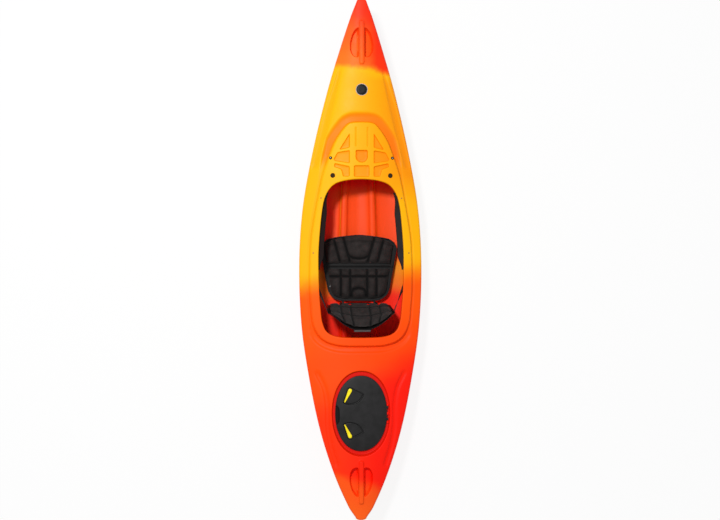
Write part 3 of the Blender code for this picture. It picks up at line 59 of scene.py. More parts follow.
LENGTH = 3.20
BEAM = 0.76
WALL = 0.005
BOW_TIP_HEIGHT = 0.335
STERN_TIP_HEIGHT = 0.300
SHEER_HEIGHT = 0.240
DECK_CROWN = 0.064
TUNNEL_HEIGHT = 0.036
EDGE_ROUND = 0.012
OUTLINE = (
    (-0.99, 0.089), (-0.95, 0.202), (-0.82, 0.442), (-0.65, 0.668), (-0.45, 0.843), (-0.25, 0.963),
    (-0.02, 1.0), (0.2, 0.943), (0.42, 0.779), (0.65, 0.545), (0.807, 0.348), (0.93, 0.178), (0.99, 0.08),
)
MIDDLE_SECTION = (
    (1.0, 1.0), (0.996, 0.8), (0.978, 0.58), (0.935, 0.36), (0.86, 0.17), (0.745, 0.05), (0.60, 0.0),
    (0.42, 0.0), (0.325, 0.03), (0.305, None), (0.205, None), (0.188, 0.05), (0.03, 0.0), (0.0, 0.0),
)
END_SECTION = (
    (1.0, 1.0), (0.94, 0.85), (0.84, 0.66), (0.71, 0.47), (0.57, 0.31), (0.45, 0.2), (0.35, 0.125),
    (0.27, 0.08), (0.22, 0.058), (0.175, 0.042), (0.13, 0.028), (0.09, 0.015), (0.03, 0.0), (0.0, 0.0),
)
CROWN_LINE = (
    (-1.0, 0.0), (-0.9, 0.3), (-0.7, 0.62), (-0.4, 0.7), (0.0, 0.95), (0.35, 1.12), (0.6, 1.0), (0.85, 0.55),
    (1.0, 0.0),
)
COCKPIT_LENGTH = 0.972
COCKPIT_WIDTH = 0.528
COCKPIT_FRONT_Y = 0.495
COCKPIT_REAR_Y = -0.477
COCKPIT_SHAPE = (
    (0.0, 1.0), (0.379, 0.991), (0.644, 0.965), (0.811, 0.908), (0.90, 0.826), (0.960, 0.68), (0.996, 0.522),
    (0.985, 0.332), (0.955, 0.206), (0.905, 0.098), (0.79, 0.035), (0.53, 0.006), (0.0, 0.0),
)
COAMING_WIDTH = 0.642
COAMING_SHAPE = (
    (0.9465, 0.685), (0.990, 0.524), (1.0, 0.3315), (0.977, 0.201), (0.933, 0.080), (0.77, -0.0107),
    (0.465, -0.053), (0.0, -0.0597),
)
COAMING_RISE = 0.022
LIP_DEPTH = 0.030
DASH_LENGTH = 0.353
DASH_WIDTH = 0.562
DASH_ARCH = ((0.0, 1.0), (0.263, 0.981), (0.416, 0.87), (0.59, 0.661), (0.7, 0.45), (0.81, 0.2), (0.9, -0.07))
DASH_POCKETS = (
    ((0.262, 0.793), (0.491, 0.504), (0.262, 0.541)),
    ((0.262, 0.496), (0.527, 0.462), (0.612, 0.340), (0.590, 0.314), (0.262, 0.269)),
    ((0.262, 0.218), (0.590, 0.275), (0.601, 0.210), (0.448, 0.167), (0.406, 0.042), (0.262, 0.042)),
)
HANDLE_WIDTH = 0.034
HANDLE_LENGTH = 0.264
HANDLE_RISE = 0.012
HANDLES_Y = (1.331, -1.365)
WELL_LENGTH = 0.185
WELL_WIDTH = 0.055
WELL_DEPTH = 0.046
HATCH_Y = -0.944
HATCH_LENGTH = 0.464
HATCH_WIDTH = 0.320
HATCH_POWER = 2.12
HATCH_MARGIN = 0.0155
HATCH_END_MARGIN = 0.024
HATCH_LEDGE = 0.028
HATCH_SEAT_Z = 0.272538
BOW_FLUTE = ((0.128, 1.185), (0.166, 1.045), (0.203, 0.910), (0.246, 0.738), (0.289, 0.584))
STERN_FLUTE = ((0.268, -0.70), (0.225, -0.79), (0.208, -0.90), (0.205, -1.02), (0.186, -1.14), (0.150, -1.26))
STERN_FLUTE_HALF = 0.0135
BOW_FLUTE_DEPTH = 0.0080
STERN_FLUTE_DEPTH = 0.0075
PLUG_X = 0.177
PLUG_Y = COCKPIT_FRONT_Y + 0.022
FITTING_X = 0.190
FITTING_Y = COCKPIT_FRONT_Y + 0.130
BADGE_Y = 1.042


def clamp(value, low=0.0, high=1.0):
    return np.clip(value, low, high)


def ease(value, start, end):
    """0 before start, 1 after end and smooth between them."""
    share = clamp((value - start) / (end - start))
    return share * share * (3 - 2 * share)


def mix(a, b, share):
    return a + (b - a) * share


def rounding(gap, radius):
    """How far a round edge falls below the flat, at a gap inward from the edge."""
    return radius - np.sqrt(radius**2 - (radius - clamp(gap, 0.0, radius)) ** 2)


def through(table, at):
    """Smooth curve through a table of (position, value), read at one position."""
    if at <= table[0][0]:
        return table[0][1]
    if at >= table[-1][0]:
        return table[-1][1]
    index = max(i for i in range(len(table) - 1) if table[i][0] <= at)

    def slope(i):
        low, high = max(i - 1, 0), min(i + 1, len(table) - 1)
        return (table[high][1] - table[low][1]) / (table[high][0] - table[low][0])

    (x0, v0), (x1, v1) = table[index], table[index + 1]
    span = x1 - x0
    s = (at - x0) / span
    start = (1 + 2 * s) * (1 - s) ** 2 * v0 + s * (1 - s) ** 2 * span * slope(index)
    return start + s * s * (3 - 2 * s) * v1 + s * s * (s - 1) * span * slope(index + 1)


def breadth_at(y):
    share = 2 * y / LENGTH
    last = OUTLINE[-1] if share > 0 else OUTLINE[0]
    if abs(share) < abs(last[0]):
        return BEAM / 2 * through(OUTLINE, share)
    past = min((abs(share) - abs(last[0])) / (1 - abs(last[0])), 1.0)
    return BEAM / 2 * last[1] * math.sqrt(1 - past * past)


ALONG = np.linspace(-LENGTH / 2, LENGTH / 2, 3201)
BREADTHS = np.array([breadth_at(y) for y in ALONG])
CROWNS = np.array([DECK_CROWN * through(CROWN_LINE, 2 * y / LENGTH) for y in ALONG])


def half_breadth(y):
    return np.interp(y, ALONG, BREADTHS)


def tip_height(y):
    return np.where(np.asarray(y) > 0, BOW_TIP_HEIGHT, STERN_TIP_HEIGHT)


def gunwale_z(y):
    return SHEER_HEIGHT + (tip_height(y) - SHEER_HEIGHT) * np.abs(2 * y / LENGTH) ** 2.2


def keel_z(y):
    return tip_height(y) * clamp((np.abs(2 * y / LENGTH) - 0.5) / 0.5) ** 9


def deck_z(x, y):
    """Height of the plain deck, before the raised and sunk forms."""
    across = clamp(np.abs(x) / np.maximum(half_breadth(y), 1e-6))
    return gunwale_z(y) + np.interp(y, ALONG, CROWNS) * (1 - across**2.3)


def offset(loop, distance):
    """The closed loop moved outwards, by a number or by a function of y."""
    area = sum(a.x * b.y - b.x * a.y for a, b in zip(loop, loop[1:] + loop[:1]))
    sign = 1 if area > 0 else -1
    result = []
    for i, point in enumerate(loop):
        before = (point - loop[i - 1]).normalized()
        after = (loop[(i + 1) % len(loop)] - point).normalized()
        normal = Vector((before.y + after.y, -before.x - after.x)) * sign
        normal /= max(1 + before.dot(after), 0.3)
        amount = distance(point.y) if callable(distance) else distance
        result.append(point + normal * float(amount))
    return result


def even_loop(dense, count):
    """The same closed loop with its points at even distances, the first one kept."""
    lengths = [0.0]
    for a, b in zip(dense, dense[1:] + dense[:1]):
        lengths.append(lengths[-1] + (b - a).length)
    result = []
    index = 0
    for i in range(count):
        target = lengths[-1] * i / count
        while lengths[index + 1] < target:
            index += 1
        s = (target - lengths[index]) / (lengths[index + 1] - lengths[index])
        result.append(dense[index].lerp(dense[(index + 1) % len(dense)], s))
    return result


def smooth_loop(half, count):
    """Closed loop through a half outline that runs from the front to the rear of the centre line."""
    controls = [Vector(p) for p in half] + [Vector((-p[0], p[1])) for p in half[-2:0:-1]]
    total = len(controls)
    dense = []
    for i in range(total):
        p0, p1, p2, p3 = (controls[(i + k) % total] for k in (-1, 0, 1, 2))
        for step in range(12):
            s = step / 12
            bend = (2 * p0 - 5 * p1 + 4 * p2 - p3) * s * s + (3 * p1 - p0 - 3 * p2 + p3) * s**3
            dense.append(0.5 * (2 * p1 + (p2 - p0) * s + bend))
    return even_loop(dense, count)


def rounded(corners, radius, spacing):
    """Closed loop with arcs in place of its corners and points at about even distances."""
    dense = []
    for i, corner in enumerate(corners):
        before, after = corners[i - 1] - corner, corners[(i + 1) % len(corners)] - corner
        cut = min(radius, 0.45 * before.length, 0.45 * after.length)
        start, end = corner + before.normalized() * cut, corner + after.normalized() * cut
        for step in range(9):
            s = step / 8
            dense.append(start * (1 - s) ** 2 + corner * 2 * s * (1 - s) + end * s * s)
    around = sum((b - a).length for a, b in zip(dense, dense[1:] + dense[:1]))
    return even_loop(dense, max(int(around / spacing), 12))


def oval(middle_y, length, width, power, count):
    loop = []
    for i in range(count * 4):
        angle = math.tau * i / (count * 4)
        c, s = math.sin(angle), math.cos(angle)
        x = width / 2 * math.copysign(abs(c) ** (2 / power), c)
        loop.append(Vector((x, middle_y + length / 2 * math.copysign(abs(s) ** (2 / power), s))))
    return even_loop(loop, count)


def circle(x, y, radius, count):
    turns = [math.tau * i / count for i in range(count)]
    return [Vector((x + radius * math.cos(t), y + radius * math.sin(t))) for t in turns]


def distance(loop, x, y, reach=0.12):
    """How far places lie from a closed loop, negative inside it. Beyond reach it is 1."""
    starts = np.array([tuple(p) for p in loop])
    ends = np.roll(starts, -1, axis=0)
    found = np.ones(x.shape)
    low, high = starts.min(axis=0) - reach, starts.max(axis=0) + reach
    near = np.nonzero((x > low[0]) & (x < high[0]) & (y > low[1]) & (y < high[1]))[0]
    run = ends - starts
    squared = np.maximum((run**2).sum(axis=1), 1e-18)
    for part in np.array_split(near, len(near) // 3000 + 1):
        px, py = x[part][:, None], y[part][:, None]
        along = clamp(((px - starts[:, 0]) * run[:, 0] + (py - starts[:, 1]) * run[:, 1]) / squared)
        dx = px - starts[:, 0] - along * run[:, 0]
        dy = py - starts[:, 1] - along * run[:, 1]
        gap = np.sqrt((dx**2 + dy**2).min(axis=1))
        upright = np.where(np.abs(run[:, 1]) < 1e-12, 1e-12, run[:, 1])
        crossing = (starts[:, 1] > py) != (ends[:, 1] > py)
        crossing &= px < starts[:, 0] + (py - starts[:, 1]) * run[:, 0] / upright
        found[part] = np.where(crossing.sum(axis=1) % 2 == 1, -gap, gap)
    return found


def dash_place(x, y):
    return Vector((x * DASH_WIDTH / 2, COCKPIT_FRONT_Y + y * DASH_LENGTH))


def cockpit_places(shape, width):
    return [(x * width / 2, COCKPIT_REAR_Y + y * COCKPIT_LENGTH) for x, y in shape]


COCKPIT = smooth_loop(cockpit_places(COCKPIT_SHAPE, COCKPIT_WIDTH), 300)
arch = [tuple(dash_place(x, y)) for x, y in DASH_ARCH]
COAMING = smooth_loop(arch + cockpit_places(COAMING_SHAPE, COAMING_WIDTH), 420)


def rear_share(y):
    return ease(-y, -COCKPIT_REAR_Y - 0.09, -COCKPIT_REAR_Y + 0.01)


def channel_width(y):
    """Width of the channel round the dashboard's arch and behind the coaming."""
    front = mix(0.010, 0.058, clamp((y - COCKPIT_FRONT_Y) / 0.25))
    return mix(front, 0.038, rear_share(y))


def channel_depth(y):
    front = mix(0.003, 0.016, ease(y, COCKPIT_FRONT_Y + 0.05, COCKPIT_FRONT_Y + 0.16))
    return mix(front, 0.010, rear_share(y))


def well_loop(handle_y, side):
    """One finger well beside a carrying bar."""
    inner, half = HANDLE_WIDTH / 2, WELL_LENGTH / 2
    outline = (
        (inner, half), (inner + 0.3 * WELL_WIDTH, 0.93 * half), (inner + 0.72 * WELL_WIDTH, 0.6 * half),
        (inner + WELL_WIDTH, 0.0), (inner + 0.97 * WELL_WIDTH, -0.6 * half),
        (inner + 0.6 * WELL_WIDTH, -0.95 * half), (inner, -half),
    )
    way = math.copysign(1, handle_y)
    return rounded([Vector((side * x, handle_y + way * y)) for x, y in outline], 0.022, 0.005)


WELLS = [well_loop(handle_y, side) for handle_y in HANDLES_Y for side in (1, -1)]
BARS = []
for handle_y in HANDLES_Y:
    half_x, half_y = HANDLE_WIDTH / 2 - 0.004, HANDLE_LENGTH / 2
    corners = [Vector((x * half_x, handle_y + y * half_y)) for x, y in ((1, 1), (-1, 1), (-1, -1), (1, -1))]
    BARS.append(rounded(corners, 0.024, 0.005))

POCKETS = []
for shape in DASH_POCKETS:
    for side in (1, -1):
        POCKETS.append((rounded([dash_place(side * x, y) for x, y in shape], 0.008, 0.004), 0.014))
for side in (1, -1):
    corners = ((0.107, 0.90), (0.150, 0.90), (0.150, 0.56), (0.107, 0.56))
    groove = [dash_place(side * x, y) for x, y in corners]
    POCKETS.append((rounded(groove, 0.005, 0.003), 0.004))
CUP_Y = COCKPIT_FRONT_Y + 0.392 * DASH_LENGTH
SLOT_Y = COCKPIT_FRONT_Y + 0.136 * DASH_LENGTH
bowl = [Vector((0.038 * math.sin(a), CUP_Y - 0.038 * math.cos(a))) for a in np.linspace(-1.88, 1.88, 13)]
bowl += [Vector((0.038, CUP_Y + 0.038)), Vector((-0.038, CUP_Y + 0.038))]
POCKETS.append((rounded(bowl, 0.010, 0.004), 0.020))
slot = [Vector((x * 0.0475, SLOT_Y + y * 0.035)) for x, y in ((1, 1), (-1, 1), (-1, -1), (1, -1))]
POCKETS.append((rounded(slot, 0.009, 0.004), 0.014))

recess_length, recess_width = HATCH_LENGTH + 2 * HATCH_END_MARGIN, HATCH_WIDTH + 2 * HATCH_MARGIN
HATCH_RIM = oval(HATCH_Y, recess_length, recess_width, HATCH_POWER, 230)
HATCH_HOLE = oval(HATCH_Y, HATCH_LENGTH - 2 * HATCH_LEDGE, HATCH_WIDTH - 2 * HATCH_LEDGE, HATCH_POWER, 180)

STATIONS = LENGTH / 2 * np.sin(np.linspace(-math.pi / 2, math.pi / 2, 231))
RIM = [Vector((breadth_at(y), y)) for y in STATIONS]
RIM += [Vector((-p.x, p.y)) for p in RIM[-2:0:-1]]
RIM[0].x = RIM[len(STATIONS) - 1].x = 0.0

SEATS = [(circle(side * PLUG_X, PLUG_Y, 0.0152, 40), 0.0016) for side in (1, -1)]
SEATS += [(circle(side * FITTING_X, FITTING_Y, 0.0096, 32), 0.0014) for side in (1, -1)]
SEATS.append((circle(0.0, BADGE_Y, 0.0378, 72), 0.0020))


def line_distance(line, x, y):
    """Distance to an open line and its mirror image, from places on either side."""
    found = np.full(x.shape, 1.0)
    for (x0, y0), (x1, y1) in zip(line, line[1:]):
        run = np.array((x1 - x0, y1 - y0))
        along = clamp(((np.abs(x) - x0) * run[0] + (y - y0) * run[1]) / (run**2).sum())
        found = np.minimum(found, np.hypot(np.abs(x) - x0 - along * run[0], y - y0 - along * run[1]))
    return found


def smooth_line(points):
    """Open curve through a few points, as short straight runs."""
    table = sorted((y, x) for x, y in points)
    return [(through(table, y), y) for y in np.linspace(table[0][0], table[-1][0], 40)]


def bow_flute_half(y):
    return mix(0.010, 0.021, ease(-y, -1.17, -0.90))


def deck_height(x, y):
    """Height of the deck with its raised and sunk forms, its share of painted shade in the hollows and of
    painted shadow in the hatch's recess.
    """
    z = deck_z(x, y)
    from_rim = np.maximum(-distance(RIM, x, y, 0.5), 0.0)
    bow = np.exp(-((line_distance(smooth_line(BOW_FLUTE), x, y) / bow_flute_half(y)) ** 4))
    stern = np.exp(-((line_distance(smooth_line(STERN_FLUTE), x, y) / STERN_FLUTE_HALF) ** 4))
    flute = BOW_FLUTE_DEPTH * bow * ease(-y, -1.19, -1.12) + STERN_FLUTE_DEPTH * stern
    flute *= ease(from_rim, 0.0, 0.02)
    z -= flute
    edge = distance(COAMING, x, y)
    width, depth = channel_width(y), channel_depth(y)
    inside = 1 - ease(edge, -0.011, 0.003)
    channel = ease(edge, -0.006, 0.004) * (1 - ease(edge, 0.60 * width, width + 0.005))
    z += COAMING_RISE * inside - depth * ease(edge, -0.011, 0.003)
    z += depth * ease(edge, 0.60 * width, width + 0.005)
    # Painted shade: sunk is how strongly the hollows are painted darker.
    sunk = np.maximum(channel * depth / 0.016, 20.0 * flute)
    for loop, drop in POCKETS:
        share = ease(-distance(loop, x, y), -0.0015, 0.0055)
        z -= drop * share
        sunk = np.maximum(sunk, share * drop / 0.028)
    for bar in BARS:
        z += HANDLE_RISE * ease(-distance(bar, x, y), -0.006, 0.005)
    for well in WELLS:
        share = ease(-distance(well, x, y), -0.002, 0.010)
        z -= WELL_DEPTH * share
        sunk = np.maximum(sunk, 0.6 * share)
    # recess also sets how much painted shadow the hatch's recess gets.
    recess = ease(-distance(HATCH_RIM, x, y), -0.0085, 0.0030)
    z = mix(z, HATCH_SEAT_Z, recess)
    for loop, drop in SEATS:
        z -= drop * ease(-distance(loop, x, y), -0.0004, 0.0004)
    z -= rounding(distance(COCKPIT, x, y), 0.007)
    z -= rounding(distance(HATCH_HOLE, x, y), 0.002)
    z -= rounding(from_rim, EDGE_ROUND)
    return z, sunk, recess


def apart(points):
    """The x and the y of some places."""
    return np.array([tuple(p) for p in points]).T


def rings_of(loop, distances):
    """Rings beside a loop. A point that came nearer to the loop than its ring is left out."""
    rings = []
    for amount in distances:
        ring = offset(loop, amount)
        least = [0.9 * abs(float(amount(p.y)) if callable(amount) else amount) - 1e-6 for p in ring]
        gaps = np.abs(distance(loop, *apart(ring)))
        rings.append([p if gap > low else None for p, gap, low in zip(ring, gaps, least)])
    return rings


def sheet_over(rim, rings, spacing, holes):
    """Flat triangles inside a rim and outside the holes, through the rings' points and a grid between."""
    points = []
    edges = []
    for ring in [rim] + rings:
        numbers = []
        for point in ring:
            numbers.append(None if point is None else len(points))
            if point is not None:
                points.append(point)
        edges += [pair for pair in zip(numbers, numbers[1:] + numbers[:1]) if None not in pair]
    tree = KDTree(len(points))
    for i, point in enumerate(points):
        tree.insert((point.x, point.y, 0), i)
    tree.balance()
    reach, low = max(p.x for p in rim), min(p.y for p in rim)
    rows = int((max(p.y for p in rim) - low) / spacing / 0.87) + 1
    columns = int(reach / spacing) + 1
    row, column = np.meshgrid(np.arange(rows), np.arange(-columns, columns + 1), indexing="ij")
    x, y = (column + 0.5 * (row % 2)) * spacing, low + 0.87 * spacing * row
    x, y = x.ravel(), y.ravel()
    inside = distance(rim, x, y, 2.0) < 0
    grid = [Vector(p) for p in zip(x[inside], y[inside]) if tree.find((*p, 0))[2] > 0.6 * spacing]
    verts, _, faces, _, _, _ = delaunay_2d_cdt(points + grid, edges, [], 0, 1e-7)
    x, y = apart(verts)
    middles = x[np.array(faces)].mean(axis=1), y[np.array(faces)].mean(axis=1)
    keep = distance(rim, *middles, 2.0) < 0
    for hole in holes:
        keep &= distance(hole, *middles) > 0
    return x, y, [face for face, kept in zip(faces, keep) if kept]


def skin(x, y, z, faces, **values):
    """Surface over flat places, with values of its points kept under their names."""
    mesh = bpy.data.meshes.new("skin")
    mesh.from_pydata(list(zip(x, y, z)), [], faces)
    for name, value in values.items():
        mesh.attributes.new(name, "FLOAT", "POINT").data.foreach_set("value", value)
    bm = bmesh.new()
    bm.from_mesh(mesh)
    bpy.data.meshes.remove(mesh)
    bmesh.ops.delete(bm, geom=[v for v in bm.verts if not v.link_faces], context="VERTS")
    return bm


def surface(rim, rings, spacing, holes, height):
    """Sheet inside a rim with its heights from a function of x and y."""
    x, y, faces = sheet_over(rim, rings, spacing, holes)
    return skin(x, y, height(x, y), faces)


def finger_window(handle_y, side):
    """Outline, seen from above, of the way through under a carrying bar, on the bar's sloping side."""
    loop = []
    for angle in np.linspace(0, math.tau, 33)[:-1]:
        c, s = math.cos(angle), math.sin(angle)
        along = 0.0575 * math.copysign(abs(c) ** 0.35, c)
        up = 0.0155 + 0.0125 * math.copysign(abs(s) ** 0.55, s)
        share = 1 - up / WELL_DEPTH
        s = 0.5 - math.sin(math.asin(1 - 2 * share) / 3)
        loop.append(Vector((side * (HANDLE_WIDTH / 2 - 0.002 + 0.012 * s), handle_y + along)))
    return loop


def carry(bm, ring, steps):
    """Joins a ring of vertices to further rings, given as lists of places."""
    for places in steps:
        after = [bm.verts.new(place) for place in places]
        for i in range(len(ring)):
            j = (i + 1) % len(ring)
            bm.faces.new((ring[i], ring[j], after[j], after[i]))
        ring = after
    return ring


def lifted(loop, height):
    """Places over a flat loop, with heights from a function of x and y."""
    x, y = apart(loop)
    return [Vector(p) for p in zip(x, y, height(x, y))]


def cut_corners(points, rounds=2):
    """Open line with its corners cut and its ends kept."""
    for _ in range(rounds):
        inner = [p for a, b in zip(points, points[1:]) for p in (a + (b - a) * 0.25, a + (b - a) * 0.75)]
        points = [points[0]] + inner + [points[-1]]
    return points


def half_section(y, breadth, bottom, high):
    """Half of the hull's section, from the rim to the keel."""
    end = float(ease(abs(2 * y / LENGTH), 0.42, 0.92))
    half = []
    for (x_middle, z_middle), (x_end, z_end) in zip(MIDDLE_SECTION, END_SECTION):
        z_middle = TUNNEL_HEIGHT / SHEER_HEIGHT if z_middle is None else z_middle
        x, z = mix(x_middle, x_end, end), mix(z_middle, z_end, end)
        half.append(Vector((breadth * x, mix(bottom, high, z))))
    return cut_corners(half)


def outer_section(y):
    high = float(gunwale_z(y)) - EDGE_ROUND
    return half_section(y, breadth_at(y), min(float(keel_z(y)), high), high)


def reach_inside(y, z):
    """Half width of the hull at a height, less its wall."""
    side = [p for p in outer_section(y) if p.x > 0.45 * breadth_at(y)][::-1]
    return float(np.interp(z, [p.y for p in side], [p.x for p in side])) - 1.2 * WALL


def inner_half(y):
    """Half width of the inner skin where the hull's side meets the deck."""
    half = breadth_at(y) - 1.3 * WALL
    return min(half, reach_inside(y, float(ceiling(half, y))))


def inner_section(y):
    breadth = inner_half(y)
    bottom = float(keel_z(y)) + WALL * (1 + 2 * float(ease(abs(2 * y / LENGTH), 0.42, 0.92)))
    half = half_section(y, breadth, bottom, float(ceiling(breadth, y)))
    for point in half[1:]:
        point.x = min(point.x, reach_inside(y, point.y))
    return half


def hull_side(stations, section):
    """Grid of the hull from rim to rim, through the sections at some places along it."""
    rows = []
    for y in stations:
        half = section(y)
        whole = [Vector((-p.x, p.y)) for p in half] + half[-2::-1]
        rows.append([Vector((p.x, y, p.y)) for p in whole])
    bm = bmesh.new()
    across, along = len(rows[0]) - 1, len(rows) - 1
    bmesh.ops.create_grid(bm, x_segments=across, y_segments=along, size=1)
    for vert in bm.verts:
        i, j = round((vert.co.x + 1) / 2 * across), round((vert.co.y + 1) / 2 * along)
        vert.co = rows[j][i]
    return bm


def join(bm, other):
    """Adds another bmesh to the first."""
    mesh = bpy.data.meshes.new("joined")
    other.to_mesh(mesh)
    other.free()
    bm.from_mesh(mesh)
    bpy.data.meshes.remove(mesh)


def ceiling_drop(y):
    """How far the inner skin of the deck lies under the plain deck, clear of all that is sunk in it."""
    drop = mix(0.003, 0.018, ease(y, 0.46, 0.55) * (1 - 0.5 * ease(y, 0.93, 1.0)))
    drop = mix(drop, 0.054, ease(y, 1.12, 1.20))
    drop = mix(drop, 0.013, ease(-y, 0.40, 0.47))
    drop = mix(drop, 0.032, ease(-y, 0.60, 0.66))
    return mix(drop, 0.054, ease(-y, 1.19, 1.24))


def ceiling(x, y):
    return deck_z(x, y) - WALL - ceiling_drop(y)


WINDOWS = [finger_window(handle_y, side) for handle_y in HANDLES_Y for side in (1, -1)]
rings = rings_of(RIM, [-0.0012, -0.0035, -0.0065, -0.0095, -0.0125, -0.018])
rings += rings_of(COAMING, [-0.017, -0.0115, -0.0095, -0.0075, -0.0055, -0.0035, -0.0015])
rings += rings_of(COAMING, [0.0005, 0.003, 0.0055])
share_rings = [lambda y, s=s: s * channel_width(y) + 0.005 * s for s in (0.62, 0.72, 0.82, 0.91, 1.0, 1.15)]
rings += rings_of(COAMING, share_rings)
rings += [COCKPIT] + rings_of(COCKPIT, [0.0007, 0.002, 0.004, 0.0065, 0.010])
for loop, drop in POCKETS:
    rings += rings_of(loop, [0.004, 0.0015, 0.0003, -0.001, -0.0022, -0.0035, -0.0047, -0.006])
for loop in WELLS:
    rings += rings_of(loop, [0.004, 0.002, 0.0005, -0.0013, -0.003, -0.0047, -0.0063, -0.008, -0.010, -0.013])
for loop in BARS:
    rings += rings_of(loop, [0.0065, 0.0045, 0.0025, 0.0005, -0.0017, -0.0038, -0.006])
rings += rings_of(HATCH_RIM, [0.012, 0.0086, 0.0068, 0.005, 0.0032, 0.0014])
rings += rings_of(HATCH_RIM, [-0.0003, -0.0017, -0.0032, -0.006])
rings += [HATCH_HOLE] + rings_of(HATCH_HOLE, [0.0005, 0.002, 0.005])
for loop, drop in SEATS:
    rings += rings_of(loop, [0.002, 0.0005, -0.0005, -0.002])
for side in (1, -1):
    for reach in (-1.3, -1.1, -0.9, -0.65, 0.65, 0.9, 1.1, 1.3):
        for line, half in ((BOW_FLUTE, bow_flute_half), (STERN_FLUTE, lambda y: STERN_FLUTE_HALF)):
            beside = [Vector((side * (x + reach * float(half(y))), y)) for x, y in smooth_line(line)]
            rings.append(beside + [None])
rings += WINDOWS
deck_x, deck_y, faces = sheet_over(RIM, rings, 0.012, [COCKPIT, HATCH_HOLE] + WINDOWS)
heights, sunk, recess = deck_height(deck_x, deck_y)
shell = skin(deck_x, deck_y, heights, faces, sunk=sunk, recess=recess)


def rims_near(bm, test):
    return [e for e in bm.edges if e.is_boundary and all(test(v.co) for v in e.verts)]


for handle_y in HANDLES_Y:
    around = rims_near(shell, lambda p: abs(p.x) < 0.04 and abs(p.y - handle_y) < 0.08)
    bmesh.ops.bridge_loops(shell, edges=around)


def ring_at(bm, loop):
    """The deck's own vertices on a loop that was cut out of it."""
    tree = KDTree(len(bm.verts))
    bm.verts.ensure_lookup_table()
    for i, vert in enumerate(bm.verts):
        tree.insert((vert.co.x, vert.co.y, 0), i)
    tree.balance()
    return [bm.verts[tree.find((p.x, p.y, 0))[1]] for p in loop]


def coaming_top(x, y):
    return deck_z(x, y) + COAMING_RISE


COCKPIT_UNDER = offset(COCKPIT, 0.0070)
lip = [lifted(COCKPIT, lambda x, y, d=d: coaming_top(x, y) - d) for d in (0.012, 0.020, LIP_DEPTH - 0.003)]
lip.append(lifted(offset(COCKPIT, 0.0008), lambda x, y: coaming_top(x, y) - LIP_DEPTH + 0.0009))
lip.append(lifted(offset(COCKPIT, 0.0028), lambda x, y: coaming_top(x, y) - LIP_DEPTH))
lip.append(lifted(COCKPIT_UNDER, ceiling))
ring = ring_at(shell, COCKPIT)
carry(shell, ring, lip)
ring = ring_at(shell, HATCH_HOLE)
edge = [[Vector((p.x, p.y, HATCH_SEAT_Z - drop)) for p in HATCH_HOLE] for drop in (0.0035, WALL)]
carry(shell, ring, edge)
join(shell, hull_side(STATIONS, outer_section))

inner_stations = 0.93 * LENGTH / 2 * np.sin(np.linspace(-math.pi / 2, math.pi / 2, 101))
inner_rim = [Vector((inner_half(y), y)) for y in inner_stations]
inner_rim += [Vector((-p.x, p.y)) for p in reversed(inner_rim)]
inner_rings = [COCKPIT_UNDER, HATCH_HOLE] + rings_of(HATCH_HOLE, [0.03]) + rings_of(COCKPIT_UNDER, [0.03])


def inner_height(x, y):
    """Height of the inner skin, which rises to the ledge at the hatch's hole."""
    at_hatch = np.abs(distance(HATCH_HOLE, x, y)) < 1e-4
    return np.where(at_hatch, HATCH_SEAT_Z - WALL, ceiling(x, y))


inner = surface(inner_rim, inner_rings, 0.035, [COCKPIT_UNDER, HATCH_HOLE], inner_height)
join(inner, hull_side(inner_stations, inner_section))
bmesh.ops.remove_doubles(inner, verts=[v for v in inner.verts if v.is_boundary], dist=1e-5)
for sign in (1, -1):
    around = rims_near(inner, lambda p: sign * p.y > 0.9299 * LENGTH / 2)
    bmesh.ops.edgeloop_fill(inner, edges=around)
for face in inner.faces:
    face.material_index = 1
join(shell, inner)
bmesh.ops.remove_doubles(shell, verts=[v for v in shell.verts if v.is_boundary], dist=2e-5)
bmesh.ops.recalc_face_normals(shell, faces=shell.faces)


def piece(name, bm, *finishes, sharp=40):
    """Turns a bmesh into a named piece of the boat."""
    mesh = bpy.data.meshes.new(name)
    bm.to_mesh(mesh)
    bm.free()
    mesh.shade_smooth()
    mesh.set_sharp_from_angle(angle=math.radians(sharp))
    obj = bpy.data.objects.new(name, mesh)
    bpy.context.scene.collection.objects.link(obj)
    for finish in finishes:
        mesh.materials.append(finish)
    return obj


def fill(tree, made, inputs):
    """Sets inputs of a shader node to values or to the outputs of other nodes."""
    for socket, value in inputs.items():
        if isinstance(value, bpy.types.NodeSocket):
            tree.links.new(value, made.inputs[socket])
        else:
            made.inputs[socket].default_value = value


def node(tree, kind, inputs, **settings):
    """Adds a shader node."""
    made = tree.nodes.new("ShaderNode" + kind)
    for name, value in settings.items():
        setattr(made, name, value)
    fill(tree, made, inputs)
    return made


def maths(tree, a, b, kind="ADD"):
    return node(tree, "Math", {0: a, 1: b}, operation=kind).outputs[0]


def noise(tree, place, scale, detail, roughness=0.5):
    inputs = {"Vector": place, "Scale": scale, "Detail": detail, "Roughness": roughness}
    return node(tree, "TexNoise", inputs).outputs[0]


def spread(tree, value, low, high, start=0.0, end=1.0):
    """The value, between low and high, moved to between start and end."""
    return node(tree, "MapRange", {0: value, 1: low, 2: high, 3: start, 4: end}).outputs[0]


def bumps(tree, height, strength, depth):
    return node(tree, "Bump", {"Strength": strength, "Distance": depth, "Height": height}).outputs[0]


def kept_value(tree, name):
    """A value that the mesh keeps on its points."""
    return node(tree, "Attribute", {}, attribute_name=name).outputs["Fac"]


def linear(red, green, blue):
    """Colour of a shader from 0 to 255 screen values."""
    parts = [c / 255 for c in (red, green, blue)]
    return (*[c / 12.92 if c <= 0.04045 else ((c + 0.055) / 1.055) ** 2.4 for c in parts], 1.0)


def new_finish(name):
    """Empty material: its tree, its shader and the object coordinates."""
    made = bpy.data.materials.new(name)
    made.use_nodes = True
    tree = made.node_tree
    return made, tree, tree.nodes["Principled BSDF"], node(tree, "TexCoord", {}).outputs["Object"]


